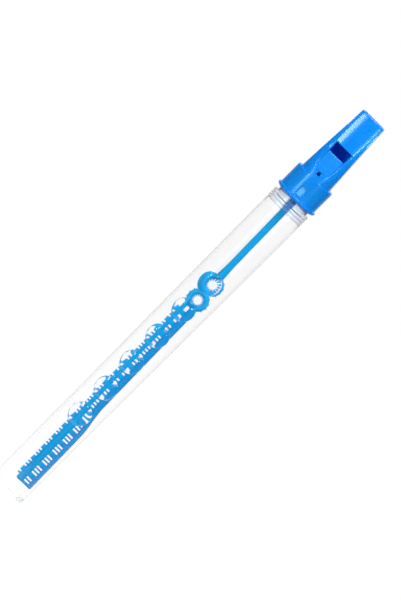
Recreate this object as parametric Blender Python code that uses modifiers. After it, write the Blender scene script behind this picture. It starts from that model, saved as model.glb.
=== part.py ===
"""Bubble whistle: a clear tube for bubble solution, closed by a whistle cap that carries the dipping wand.

The tube stands on its base at the origin with its axis along +Z, and the whistle's window faces -Y.
"""
import math

import bmesh
import bpy
from mathutils import Matrix, Vector

MM = 0.001

# Clearances between the pieces
FIT_GAP = 0.25 * MM
BORE_CLEARANCE = 0.35 * MM
WAND_FLOOR_CLEARANCE = 7.8 * MM

# Clear tube, from its base to the top of its collar
TUBE_LENGTH = 242.4 * MM
TUBE_BASE_RADIUS = 12.15 * MM
TUBE_TOP_RADIUS = 13.5 * MM
TUBE_WALL = 1.2 * MM
TUBE_FLOOR = 1.8 * MM
HEEL_ROUND = 1.6 * MM
BASE_RECESS_RADIUS = 6.5 * MM
BASE_RECESS_DEPTH = 0.6 * MM
COLLAR_HEIGHT = 6.6 * MM
COLLAR_GROOVES = 3
COLLAR_RIB_SPAN = (0.25, 0.45)  # shares of one groove's pitch, from its top
COLLAR_GROOVE_SPAN = (0.65, 0.8)
COLLAR_GROOVE_DEPTH = 0.4 * MM
SHOULDER_DROP = 4.0 * MM

# Neck that the cap is pushed over
NECK_STEP = 2.1 * MM
NECK_LENGTH = 14.5 * MM
NECK_WALL = 0.85 * MM
NECK_BEADS = 2
NECK_BEAD_RISE = 0.2 * MM
NECK_BEAD_WIDTH = 1.4 * MM

# Row of lens-shaped bubbles moulded on the front of the tube
LENS_DIAMETER = 15.0 * MM
LENS_RISE = 1.6 * MM
LENS_PITCH = 21.96 * MM
LENS_FIRST_HEIGHT = 64.8 * MM
LENS_TOP_MARGIN = 60.0 * MM
LENS_SEAT_DEPTH = 7.0 * MM

# Soft seal: a washer on the neck's rim with a sleeve down the outside of the neck
SEAL_THICKNESS = 1.2 * MM
SLEEVE_WALL = 0.6 * MM
SLEEVE_INSET = 2.7 * MM

# Skirt of the whistle cap
COLLAR_GAP = 2.4 * MM
SKIRT_WALL = 0.95 * MM
SKIRT_ROUND = 0.9 * MM
FLANGE_LIP = 1.1 * MM
FLANGE_HEIGHT = 3.0 * MM
FLANGE_ARC = 70  # degrees that its round edge runs up and down
LEDGE_THICKNESS = 1.95 * MM
SKIRT_WINDOW_WIDTH = 3.9 * MM
SKIRT_WINDOW_HEIGHT = 6.0 * MM
SKIRT_WINDOW_OFFSET = 1.2 * MM

# Mouthpiece of the whistle cap
BEAK_LENGTH = 48.9 * MM
BEAK_STEP = 2.3 * MM
BEAK_FRONT_STEP = 0.15 * MM
BEAK_HOLLOW = 0.25  # share by which its sides draw in between root and tip
BEAK_WALL = 1.7 * MM
FRONT_PLATE = 2.3 * MM
TIP_FRONT = 7.4 * MM
TIP_BACK = 4.5 * MM
TIP_CORNER = 1.6 * MM
CROWN_RADIUS = 18.5 * MM
CROWN_RUN = 17.0 * MM
SOUND_WINDOW_WIDTH = 11.4 * MM
SOUND_WINDOW_HEIGHT = 6.9 * MM
WINDWAY_LENGTH = 24.0 * MM
WINDWAY_HEIGHT = 1.3 * MM
RAMP_OFFSET = 3.0 * MM
LIP_THICKNESS = 0.7 * MM
TONE_HOLE_DIAMETER = 2.4 * MM
TONE_HOLE_OFFSET = 3.6 * MM

# Fipple plug
PLUG_CHEEK = 1.2 * MM
PLUG_RECESS = 0.4 * MM

# Wand holder, the floor of the sound chamber with a socket under it
HOLDER_THICKNESS = 2.0 * MM
BOSS_DIAMETER = 5.0 * MM
BOSS_LENGTH = 20.4 * MM
BOSS_WALL = 0.6 * MM
SOCKET_ROOF = 1.6 * MM

# Wand
WAND_LEAN = math.radians(0.9)
ROD_DIAMETER = 4.3 * MM
ROD_LENGTH = 58.75 * MM
ROD_FLARE_DIAMETER = 5.4 * MM
ROD_FLARE_LENGTH = 11.0 * MM
HOOP_RADIUS = 5.2 * MM
HOOP_THICKNESS = 3.6 * MM
HOOP_SPACING = 12.6 * MM
HOOP_RIBS = 14
HOOP_RIB_WIDTH = 0.8 * MM
HOOP_RIB_RISE = 0.4 * MM
HOOP_RIB_TURN = 0.2  # share of their spacing, so that no rib lies on a corner of the hoop
BLADE_LEFT = 5.0 * MM
BLADE_RIGHT = 4.3 * MM
TOOTH_LENGTH = 1.5 * MM
SLOT_LEFT = -2.3 * MM
SLOT_RIGHT = -0.3 * MM
FLARE_SLOT_LEFT = -0.2 * MM
FLARE_RAIL_THICKNESS = 2.9 * MM
FLARE_BOTTOM = 44.0 * MM
FLARE_LENGTH = 22.0 * MM
END_BAR_THICKNESS = 1.8 * MM
END_BAR_INSET = 0.15 * MM
END_CHAMFER = 0.8 * MM
FIN_PITCH = 2.2 * MM
FIN_THICKNESS = 0.95 * MM
FIN_DEPTH = 2.4 * MM
FIN_ROOT = 0.15  # share of the smooth rail's radius that the fins run past its middle
BAR_PITCH = 8.886 * MM
BAR_THICKNESS = 3.2 * MM
FIRST_BAR = 6.86 * MM

# Fineness of round shapes, and how far cutters reach past what they cut
ROUND_STEPS = 36
ARC_STEPS = 4
CORNER_STEPS = 6
FRONT_STEPS = 8
LOFT_STEPS = 8
FLARE_STEPS = 5
LENS_STEPS = 20
HOOP_STEPS = 24
RAIL_STEPS = 2
CORNER_LIMIT = 0.98  # share of a section's half width and half depth that a corner may take
SMOOTH_ANGLE = math.radians(35)
CUT_PAST = 5.0 * MM

# Radii at the neck, from the tube outwards
NECK_RADIUS = TUBE_TOP_RADIUS - NECK_STEP
NECK_BORE = NECK_RADIUS - NECK_WALL
SLEEVE_BORE = NECK_RADIUS + NECK_BEAD_RISE + FIT_GAP
SLEEVE_RADIUS = SLEEVE_BORE + SLEEVE_WALL
SKIRT_BORE = SLEEVE_RADIUS + FIT_GAP
SKIRT_RADIUS = SKIRT_BORE + SKIRT_WALL
FLANGE_RADIUS = SKIRT_RADIUS + FLANGE_LIP

# Heights above the base, from the tube upwards
NECK_TOP = TUBE_LENGTH + NECK_LENGTH
SEAL_BOTTOM = NECK_TOP + FIT_GAP
SEAL_TOP = SEAL_BOTTOM + SEAL_THICKNESS
HOLDER_BOTTOM = SEAL_TOP + FIT_GAP
HOLDER_TOP = HOLDER_BOTTOM + HOLDER_THICKNESS
LEDGE = HOLDER_TOP + FIT_GAP
SKIRT_BOTTOM = TUBE_LENGTH + COLLAR_GAP
FLANGE_TOP = SKIRT_BOTTOM + FLANGE_HEIGHT
SKIRT_TOP = LEDGE + LEDGE_THICKNESS
TIP = SKIRT_TOP + BEAK_LENGTH
BLOCK = TIP - WINDWAY_LENGTH
LIP = BLOCK - SOUND_WINDOW_HEIGHT
RAMP_FOOT = SKIRT_TOP + RAMP_OFFSET

# Socket, rod and hoops, from the wand holder downwards
BOSS_BOTTOM = HOLDER_BOTTOM - BOSS_LENGTH
SOCKET_TOP = HOLDER_BOTTOM - SOCKET_ROOF
SOCKET_MIDDLE = (BOSS_BOTTOM + SOCKET_TOP) / 2
SOCKET_RADIUS = BOSS_DIAMETER / 2 - BOSS_WALL
LEAN_PLAY = (SOCKET_TOP - BOSS_BOTTOM) / 2 * math.tan(WAND_LEAN)
SPIGOT_RADIUS = SOCKET_RADIUS - FIT_GAP - LEAN_PLAY
SPIGOT_TOP = SOCKET_TOP - 2 * FIT_GAP
ROD_TOP = BOSS_BOTTOM - FIT_GAP
UPPER_HOOP = ROD_TOP - ROD_LENGTH
UPPER_HOOP_CENTRE = UPPER_HOOP - HOOP_RADIUS
LOWER_HOOP_CENTRE = UPPER_HOOP_CENTRE - HOOP_SPACING

# Blade of the wand, which stays clear of the bore and of the neck as the wand turns and is drawn out
WAND_END = TUBE_FLOOR + WAND_FLOOR_CLEARANCE
BLADE_REACH = min(NECK_BORE, TUBE_BASE_RADIUS - TUBE_WALL) - BORE_CLEARANCE
FLARE_RIGHT = BLADE_REACH - (SOCKET_MIDDLE - WAND_END) * math.tan(WAND_LEAN)
FLARE_SLOT_RIGHT = FLARE_RIGHT - FLARE_RAIL_THICKNESS

# Mouthpiece at its root and tip
BEAK_ROOT_HALF = SKIRT_RADIUS - BEAK_STEP
BEAK_ROOT_FRONT = SKIRT_RADIUS - BEAK_FRONT_STEP
SEAT_TIP_HALF = SOUND_WINDOW_WIDTH / 2 + PLUG_CHEEK
BEAK_TIP_HALF = SEAT_TIP_HALF + BEAK_WALL


def mix(a, b, t):
    """Value between a and b."""
    return a + (b - a) * t


def smooth_step(low, high, value):
    """Eased rise from 0 at low to 1 at high."""
    t = min(max((value - low) / (high - low), 0.0), 1.0)
    return t * t * (3 - 2 * t)


def arc(centre, radius, start_deg, end_deg, steps=ARC_STEPS):
    """Points (across, up) on an arc, both ends included."""
    points = []
    for i in range(steps + 1):
        angle = math.radians(mix(start_deg, end_deg, i / steps))
        points.append((centre[0] + radius * math.cos(angle), centre[1] + radius * math.sin(angle)))
    return points


def plastic(name, colour, roughness, transmission=0.0):
    """A Principled material for one piece."""
    material = bpy.data.materials.new(name)
    material.use_nodes = True
    shader = material.node_tree.nodes["Principled BSDF"]
    shader.inputs["Base Color"].default_value = (*colour, 1.0)
    shader.inputs["Roughness"].default_value = roughness
    shader.inputs["Metallic"].default_value = 0.0
    shader.inputs["Transmission Weight"].default_value = transmission
    return material


def new_object(name, mesh, collection):
    """Puts a mesh into the scene with its round faces shaded smooth."""
    mesh.shade_smooth()
    mesh.set_sharp_from_angle(angle=SMOOTH_ANGLE)
    obj = bpy.data.objects.new(name, mesh)
    collection.objects.link(obj)
    return obj


def object_from_bmesh(name, bm, collection):
    """Turns a finished bmesh into an object."""
    bmesh.ops.recalc_face_normals(bm, faces=bm.faces)
    mesh = bpy.data.meshes.new(name)
    bm.to_mesh(mesh)
    bm.free()
    return new_object(name, mesh, collection)


def turned(name, profile, collection, closed=False):
    """A turned shape: profile points (radius, height) run down the outer side and are swept about Z."""
    edges = [(i, i + 1) for i in range(len(profile) - 1)]
    if closed:
        edges.append((len(profile) - 1, 0))
    mesh = bpy.data.meshes.new(name)
    mesh.from_pydata([(radius, 0.0, height) for radius, height in profile], edges, [])
    obj = bpy.data.objects.new(name, mesh)
    collection.objects.link(obj)
    screw = obj.modifiers.new("turn", "SCREW")
    screw.axis = "Z"
    screw.steps = ROUND_STEPS
    screw.render_steps = ROUND_STEPS
    screw.use_merge_vertices = True
    screw.merge_threshold = 1e-6
    return obj


def loft(name, rings, collection):
    """A closed skin through rings of equally many points, with flat ends."""
    bm = bmesh.new()
    rows = [[bm.verts.new(point) for point in ring] for ring in rings]
    count = len(rows[0])
    for lower, upper in zip(rows, rows[1:]):
        for i in range(count):
            j = (i + 1) % count
            bm.faces.new((lower[i], lower[j], upper[j], upper[i]))
    bm.faces.new(rows[0])
    bm.faces.new(rows[-1])
    return object_from_bmesh(name, bm, collection)


def prism(name, outline, half_width, collection):
    """A block with a flat outline of (y, z) points, as wide as twice half_width along X."""
    rings = [[Vector((x, y, z)) for y, z in outline] for x in (-half_width, half_width)]
    return loft(name, rings, collection)


def block(name, low, high, collection):
    """A box between two corners."""
    bm = bmesh.new()
    add_box(bm, low, high)
    return object_from_bmesh(name, bm, collection)


def add_box(bm, low, high, turn=None):
    """Adds a box between two corners to a bmesh, turned by a matrix if one is given."""
    size = Vector(high) - Vector(low)
    place = Matrix.Translation((Vector(low) + Vector(high)) / 2) @ Matrix.Diagonal((*size, 1.0))
    bmesh.ops.create_cube(bm, size=1.0, matrix=turn @ place if turn else place)


def rounded_section(half_width, front, back, corner, height, crown=0.0):
    """A ring round a level section with four round corners, whose front is bent back by the curvature crown.

    Front and back are places along Y.
    """
    corner = min(corner, CORNER_LIMIT * half_width, CORNER_LIMIT * (back - front) / 2)
    reach = half_width - corner
    corners = (
        ((reach, front + corner), -90),
        ((reach, back - corner), 0),
        ((-reach, back - corner), 90),
        ((-reach, front + corner), 180),
    )
    points = []
    for centre, start in corners:
        points += arc(centre, corner, start, start + 90, CORNER_STEPS)
    points += [(mix(-reach, reach, i / FRONT_STEPS), front) for i in range(1, FRONT_STEPS)]
    ring = []
    for x, y in points:
        share = min(max((front + corner - y) / corner, 0.0), 1.0)
        ring.append(Vector((x, y + share * crown * x * x / 2, height)))
    return ring


def join_or_cut(target, other, operation):
    """Adds a Boolean with a helper shape, which is itself left out of the model."""
    boolean = target.modifiers.new(other.name, "BOOLEAN")
    boolean.object = other
    boolean.operation = operation
    boolean.solver = "EXACT"
    other.hide_render = True
    other.display_type = "WIRE"


def tube_radius(height):
    """Outside radius of the clear tube, which tapers to its base."""
    return mix(TUBE_BASE_RADIUS, TUBE_TOP_RADIUS, min(height / TUBE_LENGTH, 1.0))


def collar_profile():
    """Grooved collar at the top of the tube, from its top edge down."""
    pitch = COLLAR_HEIGHT / COLLAR_GROOVES
    groove_radius = TUBE_TOP_RADIUS - COLLAR_GROOVE_DEPTH
    points = []
    for i in range(COLLAR_GROOVES):
        top = TUBE_LENGTH - i * pitch
        points += [(TUBE_TOP_RADIUS, top - share * pitch) for share in COLLAR_RIB_SPAN]
        points += [(groove_radius, top - share * pitch) for share in COLLAR_GROOVE_SPAN]
    return points + [(TUBE_TOP_RADIUS, TUBE_LENGTH - COLLAR_HEIGHT)]


def neck_profile():
    """Outside of the neck with its sealing beads, from the rim down to the collar."""
    pitch = NECK_LENGTH / (NECK_BEADS + 1)
    points = [(NECK_RADIUS, NECK_TOP)]
    for i in range(NECK_BEADS):
        middle = NECK_TOP - (i + 1) * pitch
        points += [
            (NECK_RADIUS, middle + NECK_BEAD_WIDTH / 2),
            (NECK_RADIUS + NECK_BEAD_RISE, middle),
            (NECK_RADIUS, middle - NECK_BEAD_WIDTH / 2),
        ]
    return points + [(NECK_RADIUS, TUBE_LENGTH)]


def build_tube(parts, cutters):
    """Clear tube with a flat base, lens bubbles, grooved collar and neck."""
    heel = arc((TUBE_BASE_RADIUS - HEEL_ROUND, HEEL_ROUND), HEEL_ROUND, 0, -90)
    foot = [(BASE_RECESS_RADIUS, 0.0), (BASE_RECESS_RADIUS - BASE_RECESS_DEPTH, BASE_RECESS_DEPTH)]
    foot.append((0.0, BASE_RECESS_DEPTH))
    tube = turned("tube", [(0.0, NECK_TOP)] + neck_profile() + collar_profile() + heel + foot, parts)

    lens_room = TUBE_LENGTH - LENS_TOP_MARGIN - LENS_FIRST_HEIGHT
    for i in range(int(lens_room / LENS_PITCH) + 1):
        join_or_cut(tube, lens(i, LENS_FIRST_HEIGHT + i * LENS_PITCH, cutters), "UNION")

    shoulder = TUBE_LENGTH - SHOULDER_DROP
    floor = TUBE_FLOOR + BASE_RECESS_DEPTH
    bore = [
        (0.0, NECK_TOP + CUT_PAST),
        (NECK_BORE, NECK_TOP + CUT_PAST),
        (NECK_BORE, TUBE_LENGTH),
        (tube_radius(shoulder) - TUBE_WALL, shoulder),
    ]
    floor_radius = tube_radius(floor) - TUBE_WALL
    bore += arc((floor_radius - HEEL_ROUND / 2, floor + HEEL_ROUND / 2), HEEL_ROUND / 2, 0, -90)
    bore.append((0.0, floor))
    join_or_cut(tube, turned("tube_bore", bore, cutters), "DIFFERENCE")
    tube.data.materials.append(plastic("clear_plastic", (0.93, 0.95, 0.98), 0.05, transmission=1.0))
    return tube


def lens(index, height, cutters):
    """An ellipsoid whose outer cap stands on the tube's front as a round bubble."""
    radius = tube_radius(height)
    half = LENS_DIAMETER / 2
    depth = LENS_SEAT_DEPTH + LENS_RISE
    side = (math.sqrt(radius ** 2 - half ** 2) - (radius - LENS_SEAT_DEPTH)) / depth
    width = half / math.sqrt(1 - side ** 2)
    tall = half / math.sqrt(1 - (LENS_SEAT_DEPTH / depth) ** 2)
    size = Matrix.Diagonal((width, depth, tall, 1.0))
    pole_forward = Matrix.Rotation(math.radians(90), 4, "X")
    place = Matrix.Translation((0.0, LENS_SEAT_DEPTH - radius, height)) @ size @ pole_forward
    bm = bmesh.new()
    bmesh.ops.create_uvsphere(bm, u_segments=LENS_STEPS, v_segments=LENS_STEPS, radius=1.0, matrix=place)
    return object_from_bmesh(f"lens_{index + 1}", bm, cutters)


def build_seal_sleeve(parts):
    """Soft seal: the washer on the rim and the sleeve between neck and skirt, in one."""
    profile = [
        (SLEEVE_RADIUS, SEAL_TOP),
        (SLEEVE_RADIUS, SKIRT_BOTTOM + SLEEVE_INSET),
        (SLEEVE_BORE, SKIRT_BOTTOM + SLEEVE_INSET),
        (SLEEVE_BORE, SEAL_BOTTOM),
        (NECK_BORE, SEAL_BOTTOM),
        (NECK_BORE, SEAL_TOP),
    ]
    sleeve = turned("seal_sleeve", profile, parts, closed=True)
    sleeve.data.materials.append(plastic("milky_seal", (0.62, 0.70, 0.86), 0.45))
    return sleeve


def beak_share(height):
    """How far up the mouthpiece a height lies: 0 at its root, 1 at its tip."""
    return (height - SKIRT_TOP) / BEAK_LENGTH


def beak_half_width(height):
    """Half the mouthpiece's width, hollowed a little between root and tip."""
    t = beak_share(height)
    return mix(BEAK_ROOT_HALF, BEAK_TIP_HALF, t + BEAK_HOLLOW * t * (1 - t))


def beak_front(height):
    """Place of the mouthpiece's front face along Y."""
    return mix(-BEAK_ROOT_FRONT, -TIP_FRONT, beak_share(height))


def beak_back(height):
    """Place of the mouthpiece's back along Y."""
    t = beak_share(height)
    return mix(BEAK_ROOT_HALF, TIP_BACK, t + BEAK_HOLLOW * t * (1 - t))


def beak_corner(height):
    """Corner radius of the mouthpiece: round at the root, then quickly a rounded oblong."""
    return mix(TIP_CORNER, BEAK_ROOT_HALF, max(1 - beak_share(height), 0.0) ** 3)


def beak_section(height):
    """Outside of the mouthpiece at one height."""
    crown = smooth_step(SKIRT_TOP, SKIRT_TOP + CROWN_RUN, height) / CROWN_RADIUS
    return rounded_section(
        beak_half_width(height), beak_front(height), beak_back(height), beak_corner(height), height, crown)


def chamber_section(height):
    """Sound chamber at one height: round over the ledge, closing on the lip of the window."""
    t = (height - LEDGE) / (LIP - LEDGE)
    front = mix(beak_front(LEDGE) + BEAK_WALL, lip_depth() + LIP_THICKNESS, t)
    return rounded_section(
        beak_half_width(height) - BEAK_WALL, front, beak_back(height) - BEAK_WALL,
        beak_corner(height) - BEAK_WALL, height)


def seat_section(height, gap=0.0):
    """Seat of the fipple plug at one height, or the plug itself when a gap is taken off."""
    corner = max(beak_corner(height) - BEAK_WALL, PLUG_CHEEK)
    return rounded_section(
        beak_half_width(height) - BEAK_WALL - gap,
        beak_front(height) + FRONT_PLATE + gap,
        beak_back(height) - BEAK_WALL - gap,
        corner,
        height)


def hollow_rings():
    """Rings up the hollow of the mouthpiece: the sound chamber, then the seat of the fipple plug."""
    run_on = SOUND_WINDOW_HEIGHT / 3
    chamber = [chamber_section(mix(LEDGE, LIP + run_on, i / LOFT_STEPS)) for i in range(LOFT_STEPS + 1)]
    seat = [seat_section(mix(BLOCK - run_on, TIP, i / LOFT_STEPS)) for i in range(LOFT_STEPS + 1)]
    below = [point - Vector((0.0, 0.0, HOLDER_THICKNESS)) for point in chamber[0]]
    beyond = [point + Vector((0.0, 0.0, CUT_PAST)) for point in seat[-1]]
    return [below] + chamber + seat + [beyond]


def lip_depth():
    """Place of the lip along Y: in line with the middle of the windway."""
    return beak_front(LIP) + FRONT_PLATE + WINDWAY_HEIGHT / 2


def skirt_profile():
    """Skirt and rounded flange of the cap as a solid, from the top down."""
    bulge = FLANGE_HEIGHT / 2
    top_round = arc((SKIRT_RADIUS - SKIRT_ROUND, SKIRT_TOP - SKIRT_ROUND), SKIRT_ROUND, 90, 0)
    flange = arc((FLANGE_RADIUS - FLANGE_LIP, SKIRT_BOTTOM + bulge), FLANGE_LIP, FLANGE_ARC, -FLANGE_ARC)
    return [(0.0, SKIRT_TOP)] + top_round + [(SKIRT_RADIUS, FLANGE_TOP)] + flange + [
        (SKIRT_RADIUS, SKIRT_BOTTOM), (0.0, SKIRT_BOTTOM)]


def build_whistle_cap(parts, cutters):
    """Whistle cap: skirt with flange, mouthpiece, sound chamber, lip and windway roof in one moulding."""
    cap = turned("whistle_cap", skirt_profile(), parts)
    outer = [beak_section(mix(SKIRT_TOP, TIP, i / LOFT_STEPS)) for i in range(LOFT_STEPS + 1)]
    root = [point + Vector((0.0, 0.0, LEDGE - SKIRT_TOP)) for point in outer[0]]
    join_or_cut(cap, loft("beak", [root] + outer, cutters), "UNION")

    below_skirt = SKIRT_BOTTOM - CUT_PAST
    skirt_bore = [(0.0, LEDGE), (SKIRT_BORE, LEDGE), (SKIRT_BORE, below_skirt), (0.0, below_skirt)]
    join_or_cut(cap, turned("skirt_bore", skirt_bore, cutters), "DIFFERENCE")

    join_or_cut(cap, loft("chamber_and_seat", hollow_rings(), cutters), "DIFFERENCE")

    outside = beak_front(LEDGE) - CUT_PAST
    window_floor = lip_depth() + LIP_THICKNESS + WINDWAY_HEIGHT
    mouth = [
        (outside, RAMP_FOOT), (beak_front(RAMP_FOOT), RAMP_FOOT), (lip_depth(), LIP),
        (window_floor, LIP), (window_floor, BLOCK), (outside, BLOCK)]
    join_or_cut(cap, prism("ramp_and_window", mouth, SOUND_WINDOW_WIDTH / 2, cutters), "DIFFERENCE")

    window_bottom = FLANGE_TOP + SKIRT_WINDOW_OFFSET
    skirt_window = block(
        "skirt_window",
        (-SKIRT_WINDOW_WIDTH / 2, -FLANGE_RADIUS, window_bottom),
        (SKIRT_WINDOW_WIDTH / 2, -SKIRT_BORE / 2, window_bottom + SKIRT_WINDOW_HEIGHT),
        cutters)
    join_or_cut(cap, skirt_window, "DIFFERENCE")

    bm = bmesh.new()
    hole = TONE_HOLE_DIAMETER / 2
    forward = Matrix.Rotation(math.radians(90), 4, "X")
    place = Matrix.Translation((0.0, -BEAK_ROOT_FRONT, SKIRT_TOP + TONE_HOLE_OFFSET)) @ forward
    bmesh.ops.create_cone(
        bm, cap_ends=True, segments=ROUND_STEPS // 2, radius1=hole, radius2=hole,
        depth=BEAK_ROOT_FRONT, matrix=place)
    join_or_cut(cap, object_from_bmesh("tone_hole", bm, cutters), "DIFFERENCE")
    cap.data.materials.append(plastic("blue_plastic", (0.0, 0.26, 0.95), 0.2))
    return cap


def build_fipple_plug(parts, cutters):
    """Plug that fills the mouthpiece and leaves the windway over its grooved front."""
    top = TIP - PLUG_RECESS
    rings = [seat_section(mix(BLOCK, top, i / LOFT_STEPS), FIT_GAP) for i in range(LOFT_STEPS + 1)]
    plug = loft("fipple_plug", rings, parts)
    groove = []
    for height in (BLOCK - CUT_PAST, TIP + CUT_PAST):
        groove.append((beak_front(height) + FRONT_PLATE + WINDWAY_HEIGHT, height))
    for height in (TIP + CUT_PAST, BLOCK - CUT_PAST):
        groove.append((beak_front(height) - CUT_PAST, height))
    join_or_cut(plug, prism("windway", groove, SOUND_WINDOW_WIDTH / 2 - FIT_GAP, cutters), "DIFFERENCE")
    plug.data.materials.append(plastic("plug_blue", (0.0, 0.14, 0.62), 0.3))
    return plug


def build_wand_holder(parts):
    """Disc that closes the sound chamber, with the socket for the wand under it."""
    radius = SKIRT_BORE - FIT_GAP
    boss = BOSS_DIAMETER / 2
    profile = [
        (0.0, HOLDER_TOP),
        (radius, HOLDER_TOP),
        (radius, HOLDER_BOTTOM),
        (boss, HOLDER_BOTTOM),
        (boss, BOSS_BOTTOM),
        (SOCKET_RADIUS, BOSS_BOTTOM),
        (SOCKET_RADIUS, SOCKET_TOP),
        (0.0, SOCKET_TOP),
    ]
    holder = turned("wand_holder", profile, parts)
    holder.data.materials.append(plastic("holder_blue", (0.0, 0.16, 0.66), 0.3))
    return holder


def flare(height):
    """Share of the wide end in the blade's outline: 1 near the end of the wand, 0 above the bend."""
    bottom = WAND_END + FLARE_BOTTOM
    return 1 - smooth_step(bottom, bottom + FLARE_LENGTH, height)


def left_rail(height):
    """Middle line and radius of the toothed rail."""
    inner = mix(SLOT_LEFT, FLARE_SLOT_LEFT, flare(height))
    return (inner - BLADE_LEFT) / 2, (inner + BLADE_LEFT) / 2


def right_rail(height):
    """Middle line and radius of the smooth rail."""
    inner = mix(SLOT_RIGHT, FLARE_SLOT_RIGHT, flare(height))
    outer = mix(BLADE_RIGHT, FLARE_RIGHT, flare(height))
    return (inner + outer) / 2, (outer - inner) / 2


def rail_path(rail):
    """Points (x, height, radius) down one rail, from inside the lower hoop to its chamfered end."""
    bottom = WAND_END + FLARE_BOTTOM
    bends = [bottom + FLARE_LENGTH * (1 - i / FLARE_STEPS) for i in range(FLARE_STEPS + 1)]
    top = LOWER_HOOP_CENTRE - math.sqrt(HOOP_RADIUS ** 2 - rail(LOWER_HOOP_CENTRE)[0] ** 2)
    path = []
    for height in [top] + bends + [WAND_END + END_CHAMFER]:
        middle, radius = rail(height)
        path.append((middle, height, radius))
    middle, radius = rail(WAND_END)
    return path + [(middle, WAND_END, radius - END_CHAMFER)]


def wand_rails(cutters):
    """The two rails of the blade as round bars."""
    curve = bpy.data.curves.new("wand_rails", "CURVE")
    curve.dimensions = "3D"
    curve.bevel_depth = 1.0 * MM
    curve.bevel_resolution = RAIL_STEPS
    curve.use_fill_caps = True
    for rail in (left_rail, right_rail):
        points = rail_path(rail)
        spline = curve.splines.new("POLY")
        spline.points.add(len(points) - 1)
        for point, (x, height, radius) in zip(spline.points, points):
            point.co = (x, 0.0, height, 1.0)
            point.radius = radius / curve.bevel_depth
    obj = bpy.data.objects.new("wand_rail_curve", curve)
    cutters.objects.link(obj)
    evaluated = obj.evaluated_get(bpy.context.evaluated_depsgraph_get())
    bm = bmesh.new()
    bm.from_mesh(bpy.data.meshes.new_from_object(evaluated))
    bmesh.ops.remove_doubles(bm, verts=bm.verts, dist=1e-6)
    bpy.data.objects.remove(obj)
    return object_from_bmesh("wand_rails", bm, cutters)


def wand_fins(cutters):
    """Thick bars and pairs of thin fins across the rails, whose ends stand out as teeth, and the end bar."""
    bm = bmesh.new()
    low = (left_rail(WAND_END)[0], -FIN_DEPTH / 2, WAND_END + END_BAR_INSET)
    high = (right_rail(WAND_END)[0], FIN_DEPTH / 2, WAND_END + END_BAR_THICKNESS)
    add_box(bm, low, high)
    first = WAND_END + FIRST_BAR
    last = LOWER_HOOP_CENTRE - HOOP_RADIUS - HOOP_THICKNESS / 2 - BAR_PITCH / 2
    bars = int((last - first) / BAR_PITCH) + 1
    heights = [(first + i * BAR_PITCH, BAR_THICKNESS) for i in range(bars)]
    for i in range(bars):
        middle = first + (i - 0.5) * BAR_PITCH
        heights += [(middle + side * FIN_PITCH / 2, FIN_THICKNESS) for side in ((-1, 1) if i else (1,))]
    for height, thickness in heights:
        low = (-BLADE_LEFT - TOOTH_LENGTH, -FIN_DEPTH / 2, height - thickness / 2)
        middle, radius = right_rail(height)
        high = (middle + radius * FIN_ROOT, FIN_DEPTH / 2, height + thickness / 2)
        add_box(bm, low, high)
    return object_from_bmesh("wand_fins", bm, cutters)


def wand_hoop(name, height, cutters):
    """A round hoop facing -Y, with ribs across its rim."""
    profile = [
        (HOOP_RADIUS + x, z) for x, z in arc((0.0, 0.0), HOOP_THICKNESS / 2, 90, -270, 2 * ARC_STEPS)[:-1]]
    hoop = turned(name, profile, cutters, closed=True)
    hoop.modifiers["turn"].steps = HOOP_STEPS
    hoop.modifiers["turn"].render_steps = HOOP_STEPS
    hoop.rotation_euler = (math.radians(90), 0.0, 0.0)
    hoop.location = (0.0, 0.0, height - SOCKET_MIDDLE)
    return hoop


def hoop_ribs(name, height, cutters):
    """Ribs that stand a little past the inner and outer edge of a hoop."""
    bm = bmesh.new()
    reach = HOOP_THICKNESS / 2 + HOOP_RIB_RISE
    for i in range(HOOP_RIBS):
        angle = 2 * math.pi * (i + HOOP_RIB_TURN) / HOOP_RIBS
        turn = Matrix.Translation((0.0, 0.0, height)) @ Matrix.Rotation(angle, 4, "Y")
        low = (HOOP_RADIUS - reach, -FIN_DEPTH / 2, -HOOP_RIB_WIDTH / 2)
        high = (HOOP_RADIUS + reach, FIN_DEPTH / 2, HOOP_RIB_WIDTH / 2)
        add_box(bm, low, high, turn)
    return object_from_bmesh(name, bm, cutters)


def build_wand(parts, cutters):
    """Dipping wand: spigot, rod, two hoops and the ribbed blade, a little askew in its socket."""
    rod = ROD_DIAMETER / 2
    profile = [
        (0.0, SPIGOT_TOP),
        (SPIGOT_RADIUS, SPIGOT_TOP),
        (SPIGOT_RADIUS, ROD_TOP),
        (rod, ROD_TOP),
        (rod, UPPER_HOOP + ROD_FLARE_LENGTH),
        (ROD_FLARE_DIAMETER / 2, UPPER_HOOP),
        (0.0, UPPER_HOOP),
    ]
    wand = turned("wand", profile, parts)
    helpers = [
        wand_rails(cutters),
        wand_fins(cutters),
        hoop_ribs("upper_hoop_ribs", UPPER_HOOP_CENTRE, cutters),
        hoop_ribs("lower_hoop_ribs", LOWER_HOOP_CENTRE, cutters),
    ]
    for piece in [wand] + helpers:
        piece.data.transform(Matrix.Translation((0.0, 0.0, -SOCKET_MIDDLE)))
    hoops = [
        wand_hoop("upper_hoop", UPPER_HOOP_CENTRE, cutters),
        wand_hoop("lower_hoop", LOWER_HOOP_CENTRE, cutters),
    ]
    for piece in hoops + helpers:
        piece.parent = wand
        join_or_cut(wand, piece, "UNION")
    wand.location = (0.0, 0.0, SOCKET_MIDDLE)
    wand.rotation_euler = (0.0, -WAND_LEAN, 0.0)
    wand.data.materials.append(plastic("wand_blue", (0.0, 0.36, 0.90), 0.25))
    return wand


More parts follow.
